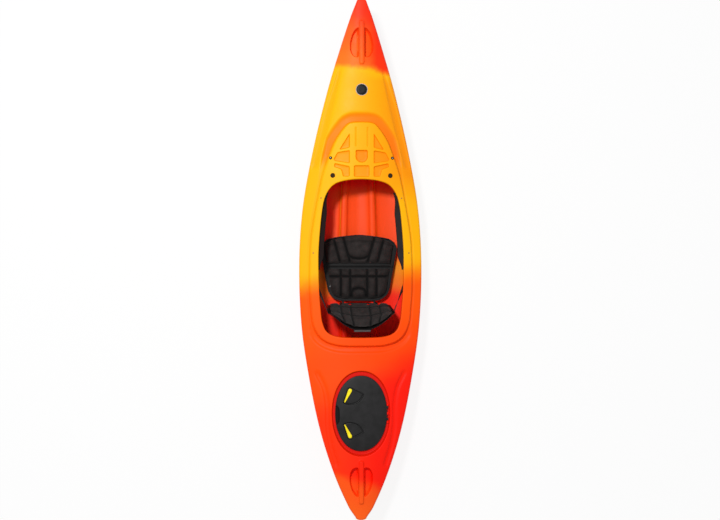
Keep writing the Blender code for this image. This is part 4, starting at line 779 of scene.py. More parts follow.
def ramp(tree, at, stops):
    """Colour ramp over a value, with stops of (position, colour)."""
    made = node(tree, "ValToRGB", {0: at})
    band = made.color_ramp
    band.interpolation = "EASE"
    while len(band.elements) < len(stops):
        band.elements.new(0.5)
    for element, (position, colour) in zip(band.elements, stops):
        element.position = position
        element.color = colour
    return made.outputs[0]


def blend_colours(tree, share, a, b):
    return node(tree, "Mix", {"Factor": share, "A": a, "B": b}, data_type="RGBA").outputs["Result"]


RED = linear(255, 26, 6)
SHADED_SIDE_CRIMSON = linear(252, 26, 8)
RECESS_SHADOW_RED = linear(222, 22, 8)
ORANGE = linear(255, 88, 2)
DEEP_ORANGE = linear(255, 72, 3)
TIP_ORANGE = linear(252, 112, 26)
HOLLOW_SHADE_ORANGE = linear(250, 108, 14)
YELLOW_SHELL = linear(254, 178, 4)
SHADED_SIDE_AMBER = linear(246, 134, 2)
INSIDE_SHADE_RED = linear(255, 16, 4)
FLOOR_ORANGE = linear(255, 80, 26)
LEANS = (
    (-1.40, 0.50), (-1.25, 0.0), (-0.95, -0.5), (-0.60, -0.5), (-0.30, -0.13), (-0.10, -0.13), (0.80, 0.0),
    (1.10, 0.11), (1.60, 0.11),
)


def ramp_along(tree, y, stops):
    """Colour ramp along the boat, with stops of (y, colour)."""
    share = maths(tree, maths(tree, y, LENGTH / 2), 1 / LENGTH, "MULTIPLY")
    return ramp(tree, share, [((at + LENGTH / 2) / LENGTH, colour) for at, colour in stops])


def shell_finish(name, stops, drifts, sink=None):
    """Polyethylene in colours that run into each other along the boat. LEANS tilts their borders."""
    made, tree, shader, place = new_finish(name)
    parts = node(tree, "SeparateXYZ", {0: place}).outputs
    swirl = noise(tree, place, 5.0, 4.0, 0.6)
    wander = maths(tree, maths(tree, swirl, 0.5, "SUBTRACT"), 0.10, "MULTIPLY")
    lean = ramp_along(tree, parts[1], [(y, (0.5 + slope,) * 3 + (1,)) for y, slope in LEANS])
    lean = maths(tree, maths(tree, lean, 0.5, "SUBTRACT"), parts[0], "MULTIPLY")
    along = maths(tree, maths(tree, parts[1], lean), wander)
    colour = ramp_along(tree, along, stops)
    for tint, (x0, x1), (y0, y1), (y2, y3), strength in drifts:
        across = spread(tree, maths(tree, parts[0], wander), x0, x1)
        begun = spread(tree, along, y0, y1, 0.0, strength)
        ended = spread(tree, along, y2, y3, 1.0, 0.0)
        part = maths(tree, maths(tree, across, begun, "MULTIPLY"), ended, "MULTIPLY")
        colour = blend_colours(tree, part, colour, tint)
    # Painted shade: hollows in the yellow deck are darkened to orange, and the hatch's recess is painted dark
    # red as its shadow.
    if sink:
        yellow = spread(tree, parts[1], -0.05, 0.15, 0.0, 0.75)
        hollow = maths(tree, kept_value(tree, "sunk"), yellow, "MULTIPLY")
        colour = blend_colours(tree, hollow, colour, sink)
        colour = blend_colours(tree, kept_value(tree, "recess"), colour, RECESS_SHADOW_RED)
    speckle = noise(tree, place, 420.0, 2.0)
    dark = spread(tree, speckle, 0.3, 0.7, 0.94, 1.03)
    fill(tree, shader, {
        "Base Color": node(tree, "VectorMath", {0: colour, "Scale": dark}, operation="SCALE").outputs[0],
        "Roughness": spread(tree, noise(tree, place, 14.0, 3.0), 0.3, 0.7, 0.42, 0.52),
        "Specular IOR Level": 0.12,
        "Normal": bumps(tree, speckle, 0.12, 0.0006),
    })
    return made


HULL = shell_finish(
    "shell_three_colours",
    [
        (-1.60, linear(252, 96, 24)), (-1.42, linear(251, 84, 20)), (-1.31, RED), (-0.90, RED),
        (-0.62, DEEP_ORANGE), (-0.20, ORANGE), (-0.02, YELLOW_SHELL), (1.152, YELLOW_SHELL),
        (1.19, TIP_ORANGE), (1.40, linear(248, 92, 30)), (1.54, linear(242, 62, 30)),
    ],
    [
        # Painted shade: the first two drifts darken the starboard side, away from the lamp, amber over the
        # yellow deck and crimson at the bow.
        (SHADED_SIDE_AMBER, (-0.12, 0.28), (0.30, 0.52), (1.10, 1.16), 0.75),
        (SHADED_SIDE_CRIMSON, (-0.05, 0.09), (1.15, 1.20), (1.60, 1.61), 0.85),
        (ORANGE, (0.10, -0.20), (-1.59, -1.58), (-0.70, -0.40), 0.25),
    ],
    HOLLOW_SHADE_ORANGE,
)
# Painted shade: under the front deck and along the port side the inside is painted a purer red.
INSIDE = shell_finish(
    "shell_inside",
    [
        (-1.60, linear(254, 26, 5)), (-0.26, linear(254, 34, 5)), (-0.16, linear(252, 120, 14)),
        (-0.06, linear(252, 150, 14)), (0.0, FLOOR_ORANGE), (0.41, FLOOR_ORANGE), (0.50, INSIDE_SHADE_RED),
    ],
    [(INSIDE_SHADE_RED, (-0.13, -0.19), (0.0, 0.06), (1.50, 1.60), 0.9)],
)
shell = piece("moulded_shell", shell, HULL, INSIDE, sharp=60)
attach(shell, "hull")
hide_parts("kayak_shell")

# Foam bulkhead and bow pillar. Blocks of grey closed-cell foam, cut to the hull's inner shape and
# pressed in behind the seat and under the bow deck, where they stiffen the thin shell.


def grained(name, light, dark, roughness, grain, depth, metallic=0.0):
    """Plain finish with a fine grain of two near colours."""
    made, tree, shader, place = new_finish(name)
    fine, wide = noise(tree, place, grain, 3.0), noise(tree, place, 23.0, 3.0)
    share = spread(tree, maths(tree, fine, wide), 0.75, 1.25)
    fill(tree, shader, {
        "Base Color": blend_colours(tree, share, linear(*dark), linear(*light)),
        "Roughness": spread(tree, wide, 0.3, 0.7, roughness - 0.06, roughness + 0.06),
        "Metallic": metallic,
        "Specular IOR Level": 0.2,
        "Normal": bumps(tree, fine, 0.5, depth),
    })
    return made


def refinish(finish, *names):
    """Gives CAD nodes a finish."""
    for name in names:
        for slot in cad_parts[name].material_slots:
            slot.material = finish


CELL_FOAM = grained("closed_cell_foam", (98, 98, 102), (74, 74, 78), 0.9, 500.0, 0.0006)
refinish(CELL_FOAM, "rear_bulkhead", "bow_foam_pillar")

# Seat frame. Two nylon runners lie on the hull's floor beside the keel, and a moulded pan is bolted
# down on them with stainless bolts. Two steel pins across it carry the leg lifter and the backrest.

NYLON = grained("black_moulded_nylon", (22, 21, 21), (13, 12, 12), 0.48, 900.0, 0.0002)
STEEL = grained("stainless_steel", (190, 190, 192), (150, 150, 154), 0.32, 700.0, 0.0001, 1.0)
refinish(NYLON, "seat_runner_left", "seat_runner_right", "seat_pan", "leg_lifter_panel", "backrest_shell")
refinish(NYLON, "leg_lifter_pin", "backrest_pin")
for hand in ("left", "right"):
    refinish(STEEL, "seat_bolt_%s_front" % hand, "seat_bolt_%s_rear" % hand)

# Seat pads. The base pad and the pad of the leg lifter in front of it are panels of black woven
# polyester over soft foam, quilted by seams and edged with a pressed-in welt, glued to the pan.

PAD_Z = 0.0459
SEAT_REAR_Y = -0.258
SEAT_FRONT_Y = 0.157
PAD_THICKNESS = 0.040
SEAM_DENT = 0.0140
SEAM_STITCH = 0.0035
SEAM_SHADE = 0.0085


def woven(name, light, dark, thread=0.0016):
    """Woven cloth, stitched along its seams, with painted shade in their channels."""
    made, tree, shader, place = new_finish(name)
    parts = node(tree, "SeparateXYZ", {0: place}).outputs
    waves = []
    for run in (parts[0], maths(tree, parts[1], parts[2])):
        turns = maths(tree, run, math.tau / thread, "MULTIPLY")
        waves.append(node(tree, "Math", {0: turns}, operation="SINE").outputs[0])
    weave = maths(tree, maths(tree, waves[0], waves[1], "MULTIPLY"), 0.18, "MULTIPLY")
    level = maths(tree, weave, noise(tree, place, 30.0, 4.0))
    colour = blend_colours(tree, spread(tree, level, 0.25, 0.75), linear(*dark), linear(*light))
    fill(tree, shader, {
        "Base Color": blend_colours(tree, kept_value(tree, "seam_shade_and_welt_line"), colour, linear(6, 5, 5)),
        "Roughness": 0.82,
        "Specular IOR Level": 0.2,
        "Sheen Weight": 0.05,
        "Sheen Roughness": 0.5,
        "Normal": bumps(tree, level, 0.45, 0.0004),
    })
    return made


CLOTH = woven("seat_polyester", (49, 43, 42), (29, 25, 24))


def baked(obj):
    """Replaces an object's mesh by what its modifiers make of it."""
    graph = bpy.context.evaluated_depsgraph_get()
    mesh = bpy.data.meshes.new_from_object(obj.evaluated_get(graph))
    obj.modifiers.clear()
    old, obj.data = obj.data, mesh
    bpy.data.meshes.remove(old)


def blown_pad(name, place, thickness, cap, finish):
    """Pad over a unit square: a closed form is blown up as cloth, and no point moves past the cap."""
    bm = bmesh.new()
    bmesh.ops.create_grid(bm, x_segments=28, y_segments=18, size=1)
    raised = bmesh.ops.extrude_face_region(bm, geom=bm.faces[:])["geom"]
    tops = {v for v in raised if isinstance(v, bmesh.types.BMVert)}
    for vert in bm.verts:
        u, v = vert.co.x, (vert.co.y + 1) / 2
        middle = (1 - abs(u) ** 5) * (1 - abs(vert.co.y) ** 5)
        height = 0.26 + 0.54 * middle if vert in tops else 0.14 * (1 - middle)
        vert.co = place(u, v, height * thickness)
    bmesh.ops.recalc_face_normals(bm, faces=bm.faces)
    obj = piece(name, bm, finish)
    remesh = obj.modifiers.new("even_faces", "REMESH")
    remesh.mode = "VOXEL"
    remesh.voxel_size = 0.005
    baked(obj)
    rest = [v.co.copy() for v in obj.data.vertices]
    cloth = obj.modifiers.new("air", "CLOTH")
    cloth.settings.use_pressure = True
    cloth.settings.uniform_pressure_force = 4
    cloth.settings.effector_weights.gravity = 0
    for frame_number in range(1, 21):
        bpy.context.scene.frame_set(frame_number)
    baked(obj)
    bpy.context.scene.frame_set(1)
    for vert, start in zip(obj.data.vertices, rest):
        move = vert.co - start
        if move.length > cap:
            vert.co = start + move * (cap / move.length)
    bm = bmesh.new()
    bm.from_mesh(obj.data)
    bmesh.ops.subdivide_edges(bm, edges=bm.edges[:], cuts=1, use_grid_fill=True, smooth=0.0)
    for _ in range(3):
        bmesh.ops.smooth_vert(
            bm, verts=bm.verts, factor=0.5, use_axis_x=True, use_axis_y=True, use_axis_z=True
        )
    bm.to_mesh(obj.data)
    bm.free()
    obj.data.materials.clear()
    obj.data.materials.append(finish)
    obj.data.shade_smooth()
    return obj


def seams_near(seams, a, b):
    """Distance of places on a flat pad to the nearest of its seams."""
    found = np.full(a.shape, 1.0)
    for line in seams:
        for (x0, y0), (x1, y1) in zip(line, line[1:]):
            run = np.array((x1 - x0, y1 - y0))
            along = clamp(((a - x0) * run[0] + (b - y0) * run[1]) / (run**2).sum())
            found = np.minimum(found, np.hypot(a - x0 - along * run[0], b - y0 - along * run[1]))
    return found


def quilt(obj, read, write, seams, depth, floor, welt):
    """Presses the seams into a pad. read gives flat places and heights, write turns them to points."""
    places = np.empty(len(obj.data.vertices) * 3)
    obj.data.vertices.foreach_get("co", places)
    places = places.reshape(-1, 3)
    a, b, height = read(places)
    gap = seams_near(seams, a, b)
    share = clamp((height - floor) / 0.012)
    pressed = 0.75 * np.exp(-((gap / SEAM_DENT) ** 2)) + 0.25 * np.exp(-((gap / SEAM_STITCH) ** 2))
    ripple = 0.0007 * np.sin(a * 310 + 3 * np.sin(b * 90)) * np.sin(b * 270 + 2 * np.sin(a * 120))
    height = np.maximum(height - share * depth * pressed + share * ripple * (1 - pressed), 0.0)
    turned = write(a, b, height)
    obj.data.vertices.foreach_set("co", turned.reshape(-1))
    # Painted shade: the seam value darkens the cloth in the pressed channels, and a dark line is drawn along
    # the welt at the pad's foot.
    line = np.exp(-((gap / SEAM_SHADE) ** 4)) * share
    over = height - welt
    line = np.maximum(line, np.exp(-((over / 0.0022) ** 2)) * (1 - clamp(over / 0.006)))
    obj.data.attributes.new("seam_shade_and_welt_line", "FLOAT", "POINT").data.foreach_set("value", clamp(line))
    obj.data.update()


def mirrored(lines):
    return lines + [[(-x, y) for x, y in line] for line in lines]


def both_ways(half):
    """Line from the centre line outwards, carried on to the other side."""
    return [(-x, y) for x, y in half[:0:-1]] + half


def seat_half(y):
    return mix(0.372, 0.486, (y - SEAT_REAR_Y) / (SEAT_FRONT_Y - SEAT_REAR_Y)) / 2


def corner_cut(radius, inward):
    """How far a round corner cuts into the sides, at a distance inward from its end."""
    return radius - math.sqrt(radius**2 - min(max(radius - inward, 0.0), radius) ** 2)


def base_point(u, v, height):
    y = mix(SEAT_REAR_Y + 0.010, -0.049, v)
    half = seat_half(y) - 0.011 - corner_cut(0.070, y - SEAT_REAR_Y - 0.010)
    return (u * half, y, PAD_Z + 0.003 + height)


def lifter_lift(x, y):
    """Height of the leg lifter's pad over the base pad's: it rests on the panel, then on the pan's rim."""
    return 0.0070 + 0.0137 * ease(y + 0.036 * (x / 0.243) ** 2, 0.112, 0.134)


def lifter_point(u, v, height):
    front = SEAT_FRONT_Y - 0.005 + 0.014 * (1 - u * u) - 0.036 * u * u
    y = mix(-0.026, front, v)
    x = u * (seat_half(min(y, SEAT_FRONT_Y)) - 0.011 - corner_cut(0.026, front - y))
    return (x, y, PAD_Z + float(lifter_lift(x, y)) + 0.003 + height)


def flat_read(places):
    return places[:, 0], places[:, 1], places[:, 2] - PAD_Z


def flat_write(a, b, height):
    return np.stack((a, b, height + PAD_Z), axis=1)


def flat_read_lifter(places):
    lift = lifter_lift(places[:, 0], places[:, 1])
    return places[:, 0], places[:, 1], places[:, 2] - PAD_Z - lift


def flat_write_lifter(a, b, height):
    return np.stack((a, b, height + PAD_Z + lifter_lift(a, b)), axis=1)


dome = both_ways([(0.0, -0.177), (0.034, -0.186), (0.045, -0.205), (0.046, -0.262)])
base_seams = mirrored([[(0.054, -0.270), (0.054, -0.030)], [(0.113, -0.270), (0.113, -0.030)]])
base_seams += [[(-0.23, -0.104), (0.23, -0.104)], dome]
base_pad = blown_pad("seat_base_cushion", base_point, PAD_THICKNESS, 0.006, CLOTH)
quilt(base_pad, flat_read, flat_write, base_seams, 0.019, 0.010, 0.009)
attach(base_pad, "hull")
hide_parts("seat_base_pad")

bib = both_ways([(0.0, 0.008), (0.035, 0.012), (0.060, 0.024), (0.074, 0.050)])
lifter_seams = [[(0.107, 0.170), (0.060, 0.004), (0.056, -0.040)], [(0.169, 0.170), (0.111, -0.040)]]
lifter_seams = mirrored(lifter_seams) + [bib]
lifter_pad = blown_pad("leg_lifter_cushion", lifter_point, PAD_THICKNESS, 0.006, CLOTH)
quilt(lifter_pad, flat_read_lifter, flat_write_lifter, lifter_seams, 0.019, 0.010, 0.009)
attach(lifter_pad, "leg_lifter")
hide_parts("leg_lifter_pad")

# Backrest. A curved nylon panel turns on the rear pin of the pan. Its pad is quilted cloth over foam
# like the seat's, and two flat webbing straps run from it to anchors on the hull's sides.

RECLINE = math.radians(24)
BACK_PIN = Vector((0.0, -0.276, 0.0536))
BACK_WIDTH = 0.415
BACK_HEIGHT = 0.350
BACK_START = 0.020
BACK_WING = 0.090
BACK_UP = Vector((0, -math.sin(RECLINE), math.cos(RECLINE)))
BACK_AHEAD = Vector((0, math.cos(RECLINE), math.sin(RECLINE)))
STRAP_WIDTH = 0.025
STRAP_THICKNESS = 0.0015
STRAP_TWIST = math.radians(52)
STRAP_ANCHOR_Y = 0.051
STRAP_ANCHOR_Z = 0.200
STRAP_SHARE = 0.55


def back_half(share):
    return BACK_WIDTH / 2 * (1 - 0.16 * ease(share, 0.7, 1.0) - 0.04 * (1 - share) ** 2)


def back_point(u, share, forward):
    """Point of the backrest: across -1 to 1, up 0 to 1, and forward of the panel's front face."""
    n = BACK_WING * u * u * share + forward
    up = BACK_START + BACK_HEIGHT * share * (1 - 0.06 * u * u)
    x = u * float(back_half(share)) - u * 0.35 * forward * share
    return Vector((x, BACK_PIN.y, BACK_PIN.z)) + BACK_AHEAD * n + BACK_UP * up


def back_pad_point(u, v, height):
    return back_point(0.94 * u, 0.035 + 0.93 * v, 0.0042 + height)


def back_read(places):
    """Across, up and forward on the backrest's panel, all in metres."""
    local = places - np.array(BACK_PIN)
    forward = local @ np.array(BACK_AHEAD)
    up = local @ np.array(BACK_UP) - BACK_START
    u = places[:, 0] / (BACK_WIDTH / 2)
    for _ in range(4):
        share = up / BACK_HEIGHT / (1 - 0.06 * u * u)
        thick = forward - BACK_WING * u * u * share
        u = places[:, 0] / (back_half(share) - 0.35 * thick * share)
    return u * BACK_WIDTH / 2, share * BACK_HEIGHT, thick - 0.0012


def back_write(a, b, height):
    u, share, thick = a / (BACK_WIDTH / 2), b / BACK_HEIGHT, height + 0.0012
    n = BACK_WING * u * u * share + thick
    up = BACK_START + BACK_HEIGHT * share * (1 - 0.06 * u * u)
    x = u * back_half(share) - u * 0.35 * thick * share
    local = n[:, None] * np.array(BACK_AHEAD) + up[:, None] * np.array(BACK_UP)
    return local + np.array(BACK_PIN) + np.stack((x, 0 * x, 0 * x), axis=1)


back_seams = mirrored([[(0.061, -0.02), (0.061, 0.37)], [(0.125, -0.02), (0.125, 0.37)]])
back_seams += [[(-0.21, 0.100), (0.21, 0.100)], [(-0.21, 0.218), (0.21, 0.218)]]
back_pad = blown_pad("backrest_cushion", back_pad_point, 0.036, 0.005, CLOTH)
quilt(back_pad, back_read, back_write, back_seams, 0.016, 0.009, 0.008)
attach(back_pad, "backrest")
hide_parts("backrest_pad")

WEBBING = woven("strap_webbing", (46, 44, 44), (26, 25, 26), 0.0026)
for side, hand in ((-1, "left"), (1, "right")):
    low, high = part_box("strap_anchor_" + hand)
    face_x = (high if side < 0 else low)[0]
    start = Vector((face_x - side * 0.0012, STRAP_ANCHOR_Y, STRAP_ANCHOR_Z))
    end = back_point(side, STRAP_SHARE, -0.001) + Vector((side * 0.0012, 0, 0))
    flat = (end - start).cross(Vector((0, 0, 1))).normalized()
    strap = bmesh.new()
    bmesh.ops.create_grid(strap, x_segments=6, y_segments=70, size=1)
    for vert in strap.verts:
        across, along = vert.co.x, (vert.co.y + 1) / 2
        turn = STRAP_TWIST * math.sin(math.pi * along) ** 2
        upright = Vector((0, 0, 1)).lerp(BACK_UP, along**3)
        middle = start.lerp(end, along) - Vector((0, 0, 0.032 * along * (1 - along)))
        bow = 0.0012 * (1 - across * across) * math.sin(math.pi * along)
        edgeways = upright * math.cos(turn) + flat * math.sin(turn)
        vert.co = middle + edgeways * STRAP_WIDTH / 2 * across + flat * bow
    strap = piece("backrest_strap_band_" + hand, strap, WEBBING)
    thick = strap.modifiers.new("webbing", "SOLIDIFY")
    thick.thickness = STRAP_THICKNESS
    thick.offset = 0.0
    baked(strap)
    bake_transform(strap)
    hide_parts("backrest_strap_" + hand)
refinish(NYLON, "strap_anchor_left", "strap_anchor_right")


def block(low, high, bevel):
    """Box with round edges."""
    bm = bmesh.new()
    bmesh.ops.create_cube(bm, size=1)
    for vert in bm.verts:
        vert.co = [mix(a, b, c + 0.5) for a, b, c in zip(low, high, vert.co)]
    bmesh.ops.bevel(bm, geom=bm.edges[:], offset=bevel, segments=3, profile=0.5, affect="EDGES", material=-1)
    return bm


RIB = grained("grey_ribs", (104, 102, 100), (84, 82, 80), 0.5, 700.0, 0.0002)
clip = block((-0.052, -0.0085, 0.362), (0.052, 0.0055, 0.3755), 0.0025)
for forward in (-0.0050, 0.0015):
    rib = block((-0.049, forward - 0.0016, 0.3745), (0.049, forward + 0.0016, 0.3772), 0.0009)
    for face in rib.faces:
        face.material_index = 1
    join(clip, rib)
for vert in clip.verts:
    vert.co = BACK_PIN + Vector((vert.co.x, 0, 0)) + BACK_AHEAD * vert.co.y + BACK_UP * vert.co.z
clip = piece("backrest_top_clip", clip, NYLON, RIB)
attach(clip, "backrest")

# Thigh braces. A bent nylon plate is screwed up under each side of the coaming and turned in over the
# paddler's thighs, with a strip of soft dark red foam glued under it. Two steel screws hold each one.

BRACE_FRONT_Y = 0.415
BRACE_REAR_Y = -0.060
BRACE_REACH = 0.034
BRACE_SCREWS = (("front", 0.380), ("rear", 0.043))
BRACE_PLASTIC = grained("brace_moulded_nylon", (30, 13, 9), (18, 8, 6), 0.6, 900.0, 0.0002)
BRACE_PAD_FOAM = grained("brace_pad_foam", (40, 14, 12), (25, 9, 8), 0.88, 420.0, 0.0006)


def half_width(loop, y):
    """Half width of a closed loop that starts at its front and runs over starboard."""
    side = [p for p in loop[: len(loop) // 2] if p.x > 0][::-1]
    return float(np.interp(y, [p.y for p in side], [p.x for p in side]))


HOLLOW = offset(COAMING, -0.013)


def brace_run(side, section):
    """Closed section, given at a share of the length, carried along the opening's edge."""
    bm = bmesh.new()
    rings = []
    for share in np.linspace(0, 1, 96):
        y = mix(BRACE_FRONT_Y, BRACE_REAR_Y, share)
        edge = half_width(COCKPIT, y)
        reach = BRACE_REACH * (0.35 + 0.65 * ease(share, 0.0, 0.3)) * (1 - 0.75 * ease(share, 0.8, 1.0))
        corners = [Vector(p) for p in section(float(reach), half_width(HOLLOW, y) - 0.0015 - edge)]
        ring = even_loop(rounded(corners, 0.0018, 0.0006), 72)
        tops = coaming_top(np.array([edge + max(p.x, 0.0) for p in ring]), np.full(72, y))
        rings.append([Vector((side * (edge + p.x), y, z + p.y)) for p, z in zip(ring, tops)])
    first = [bm.verts.new(place) for place in rings[0]]
    last = carry(bm, first, rings[1:])
    ends = [bm.faces.new(first), bm.faces.new(last)]
    edges = list({e for face in ends for e in face.edges})
    bmesh.ops.bevel(bm, geom=edges, offset=0.0012, segments=3, profile=0.5, affect="EDGES", material=-1)
    bmesh.ops.recalc_face_normals(bm, faces=bm.faces)
    return bm


def plate_section(reach, outer):
    return [
        (outer, -0.006), (outer, -0.010), (0.0145, -0.010), (0.0145, -0.0365),
        (-reach, -0.0365 - 0.35 * reach), (-reach, -0.0325 - 0.35 * reach),
        (0.0105, -0.0325), (0.0105, -0.006),
    ]


def foam_section(reach, outer):
    return [
        (0.0145, -0.0371), (0.0145, -0.0441), (0.0105, -0.0471), (0.003 - reach, -0.0471 - 0.35 * reach),
        (-reach, -0.0431 - 0.35 * reach), (-reach, -0.0371 - 0.35 * reach),
    ]


for side, hand in ((-1, "left"), (1, "right")):
    plate = piece("thigh_brace_plate_" + hand, brace_run(side, plate_section), BRACE_PLASTIC)
    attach(plate, "hull")
    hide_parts("thigh_brace_" + hand)
    foam = piece("thigh_brace_foam_" + hand, brace_run(side, foam_section), BRACE_PAD_FOAM)
    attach(foam, "hull")
    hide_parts("thigh_pad_" + hand)

# Screws, plugs, fittings and badge on the deck. Steel screw heads, two grooved rubber plugs in front of
# the cockpit, two nylon washers with steel domes beside the cup, and a plain round plate on the bow.


def spun(profile, steps=48):
    """Turned part: a profile of (radius, height) spun about the z axis."""
    bm = bmesh.new()
    line = [bm.verts.new((radius, 0, height)) for radius, height in profile]
    edges = [bm.edges.new(pair) for pair in zip(line, line[1:])]
    bmesh.ops.spin(
        bm, geom=line + edges, cent=(0, 0, 0), axis=(0, 0, 1), dvec=(0, 0, 0), angle=math.tau,
        steps=steps, use_merge=True, use_duplicate=False,
    )
    bmesh.ops.remove_doubles(bm, verts=bm.verts, dist=1e-6)
    bmesh.ops.recalc_face_normals(bm, faces=bm.faces)
    return bm


def seat_on(bm, surface, x, y, sink):
    """Stands a part on a surface, square to it and sunk into it."""
    slope_x = float(surface(x + 0.002, y) - surface(x - 0.002, y)) / 0.004
    slope_y = float(surface(x, y + 0.002) - surface(x, y - 0.002)) / 0.004
    up = Vector((-slope_x, -slope_y, 1)).normalized()
    point = Vector((x, y, float(surface(x, y)))) - up * sink
    bm.transform(Matrix.Translation(point) @ up.to_track_quat("Z", "Y").to_matrix().to_4x4())


# Painted reflection: the screw heads' steel is tinted warm brown, as the yellow deck seen in them.
STEEL_PAINTED_DECK_REFLECTION = grained("steel_painted_deck_reflection", (170, 126, 84), (128, 88, 54), 0.5, 700.0, 0.0002, 0.6)
PLUG_RUBBER = grained("plug_rubber", (58, 42, 20), (40, 28, 12), 0.8, 600.0, 0.0003)
PALE_RING = grained("pale_ring", (196, 190, 176), (168, 160, 146), 0.5, 700.0, 0.0001)
SCREW = [
    (0.0, 0.0010), (0.0014, 0.0010), (0.0020, 0.0022), (0.0034, 0.0022), (0.0044, 0.0015), (0.0050, 0.0006),
    (0.0050, -0.0010), (0.0, -0.0010),
]
PLUG = [
    (0.0, 0.0030), (0.0058, 0.0032), (0.0062, 0.0030), (0.0068, 0.0020), (0.0074, 0.0030), (0.0080, 0.0033),
    (0.0118, 0.0031), (0.0136, 0.0023), (0.0145, 0.0010), (0.0145, -0.0010), (0.0, -0.0010),
]
WASHER = [
    (0.0, 0.0046), (0.0058, 0.0046), (0.0062, 0.0056), (0.0070, 0.0060), (0.0082, 0.0054), (0.0090, 0.0036),
    (0.0090, -0.0010), (0.0, -0.0010),
]
DOME = [(0.0, 0.0078), (0.0016, 0.0076), (0.0032, 0.0068), (0.0044, 0.0056), (0.0048, 0.0042), (0.0, 0.0042)]
BADGE_BLACK = 0.0334
BADGE = [
    (0.0, 0.0019), (0.0150, 0.00195), (BADGE_BLACK, 0.0020),
    (0.0340, 0.0015), (0.0354, 0.0015), (0.0358, 0.0020),
    (0.0364, 0.0017), (0.0368, 0.0010), (0.0370, 0.0), (0.0370, -0.0010), (0.0, -0.0010),
]
for side, hand in ((-1, "left"), (1, "right")):
    for place, y in BRACE_SCREWS:
        screw = spun(SCREW, 32)
        seat_on(screw, coaming_top, side * (half_width(HOLLOW, y) - 0.0095), y, 0.0012)
        screw = piece("brace_screw_head_%s_%s" % (hand, place), screw, STEEL_PAINTED_DECK_REFLECTION)
        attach(screw, "hull")
        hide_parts("thigh_brace_screw_%s_%s" % (hand, place))
    plug = spun(PLUG)
    seat_on(plug, coaming_top, side * PLUG_X, PLUG_Y, 0.0018)
    plug = piece("deck_rubber_plug_" + hand, plug, PLUG_RUBBER)
    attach(plug, "hull")
    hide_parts("deck_plug_" + hand)
    fitting = spun(WASHER)
    dome = spun(DOME)
    for face in dome.faces:
        face.material_index = 1
    join(fitting, dome)
    seat_on(fitting, coaming_top, side * FITTING_X, FITTING_Y, 0.0016)
    fitting = piece("deck_fitting_washer_" + hand, fitting, NYLON, STEEL)
    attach(fitting, "hull")
    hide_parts("deck_fitting_" + hand)
badge = spun(BADGE, 96)
for face in badge.faces:
    reach = face.calc_center_median().to_2d().length
    face.material_index = int(reach > BADGE_BLACK and face.normal.z > 0)
seat_on(badge, deck_z, 0.0, BADGE_Y, 0.0022)
badge = piece("bow_round_plate", badge, NYLON, PALE_RING)
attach(badge, "hull")
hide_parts("bow_badge")

# Foot braces. A toothed nylon rail is fixed on each side of the hull under the front deck. A pedal
# slides along it, and the paddler lifts the yellow trigger on top to unlock it.

YELLOW_NYLON = grained("yellow_moulded_nylon", (255, 238, 40), (242, 216, 22), 0.4, 800.0, 0.0002)
refinish(NYLON, "foot_rail_left", "foot_rail_right", "foot_pedal_left", "foot_pedal_right")
refinish(YELLOW_NYLON, "foot_trigger_left", "foot_trigger_right")

# Rear hatch. A domed cover of satin dark plastic lies on a rubber gasket in the deck's recess and opens
# on a pinned hinge to starboard. Two yellow nylon levers turn in quarter-round recesses of the cover,
# each with a cam under it that grips the ledge. A scoop in the port edge gives room for the fingers.

COVER_Z = 0.275838
LEVER_FLOOR = 0.279838
LEVER_X = -0.068
LEVER_Y = 0.141
LEVER_REST = math.radians(-115)
LEVER_SWEEP = math.radians(95)
HINGE_X = 0.1645
HINGE_Z = 0.282538
KNUCKLE_APART = 0.074
LEVER_HUB = 0.0118
LEVER_TIP = 0.0036
LEVER_ARM = 0.0774
LEVER_EDGE = 0.0022
STEM_LOW = 0.2676
COVER_PLASTIC = grained("hatch_cover_plastic", (37, 36, 37), (28, 28, 28), 0.46, 650.0, 0.0003)
GASKET_AND_SCOOP_SHADE_RUBBER = grained("gasket_rubber_and_scoop_shade", (17, 17, 17), (10, 10, 10), 0.72, 500.0, 0.0003)
COVER_RIM = oval(HATCH_Y, HATCH_LENGTH, HATCH_WIDTH, HATCH_POWER, 220)
SCOOP = (-0.168, HATCH_Y - 0.010, 0.036, 0.062)


def turned(way, loop):
    """Loop about a lever's pivot, moved there. way is 1 for the front lever and -1 for the rear one."""
    return [Vector((LEVER_X + p.x, HATCH_Y + way * (LEVER_Y + p.y))) for p in loop][::way]


def arc(radius, start, end, count, middle=(0.0, 0.0)):
    turns = np.linspace(start, end, count)
    return [Vector(middle) + Vector((math.cos(a), math.sin(a))) * radius for a in turns]


sector = arc(0.088, LEVER_REST - 0.10, LEVER_REST + LEVER_SWEEP + 0.10, 14)
sector += arc(0.019, LEVER_REST + LEVER_SWEEP + 1.4, LEVER_REST + math.tau - 1.4, 10)
SECTORS = [rounded(turned(way, sector), 0.006, 0.003) for way in (1, -1)]
BORES = [circle(LEVER_X, HATCH_Y + way * LEVER_Y, 0.0063, 32) for way in (1, -1)]


def scoop_share(x, y):
    """1 in the middle of the scoop for the fingers and 0 at its rim."""
    return 1 - clamp(((x - SCOOP[0]) / SCOOP[2]) ** 2 + ((y - SCOOP[1]) / SCOOP[3]) ** 4)


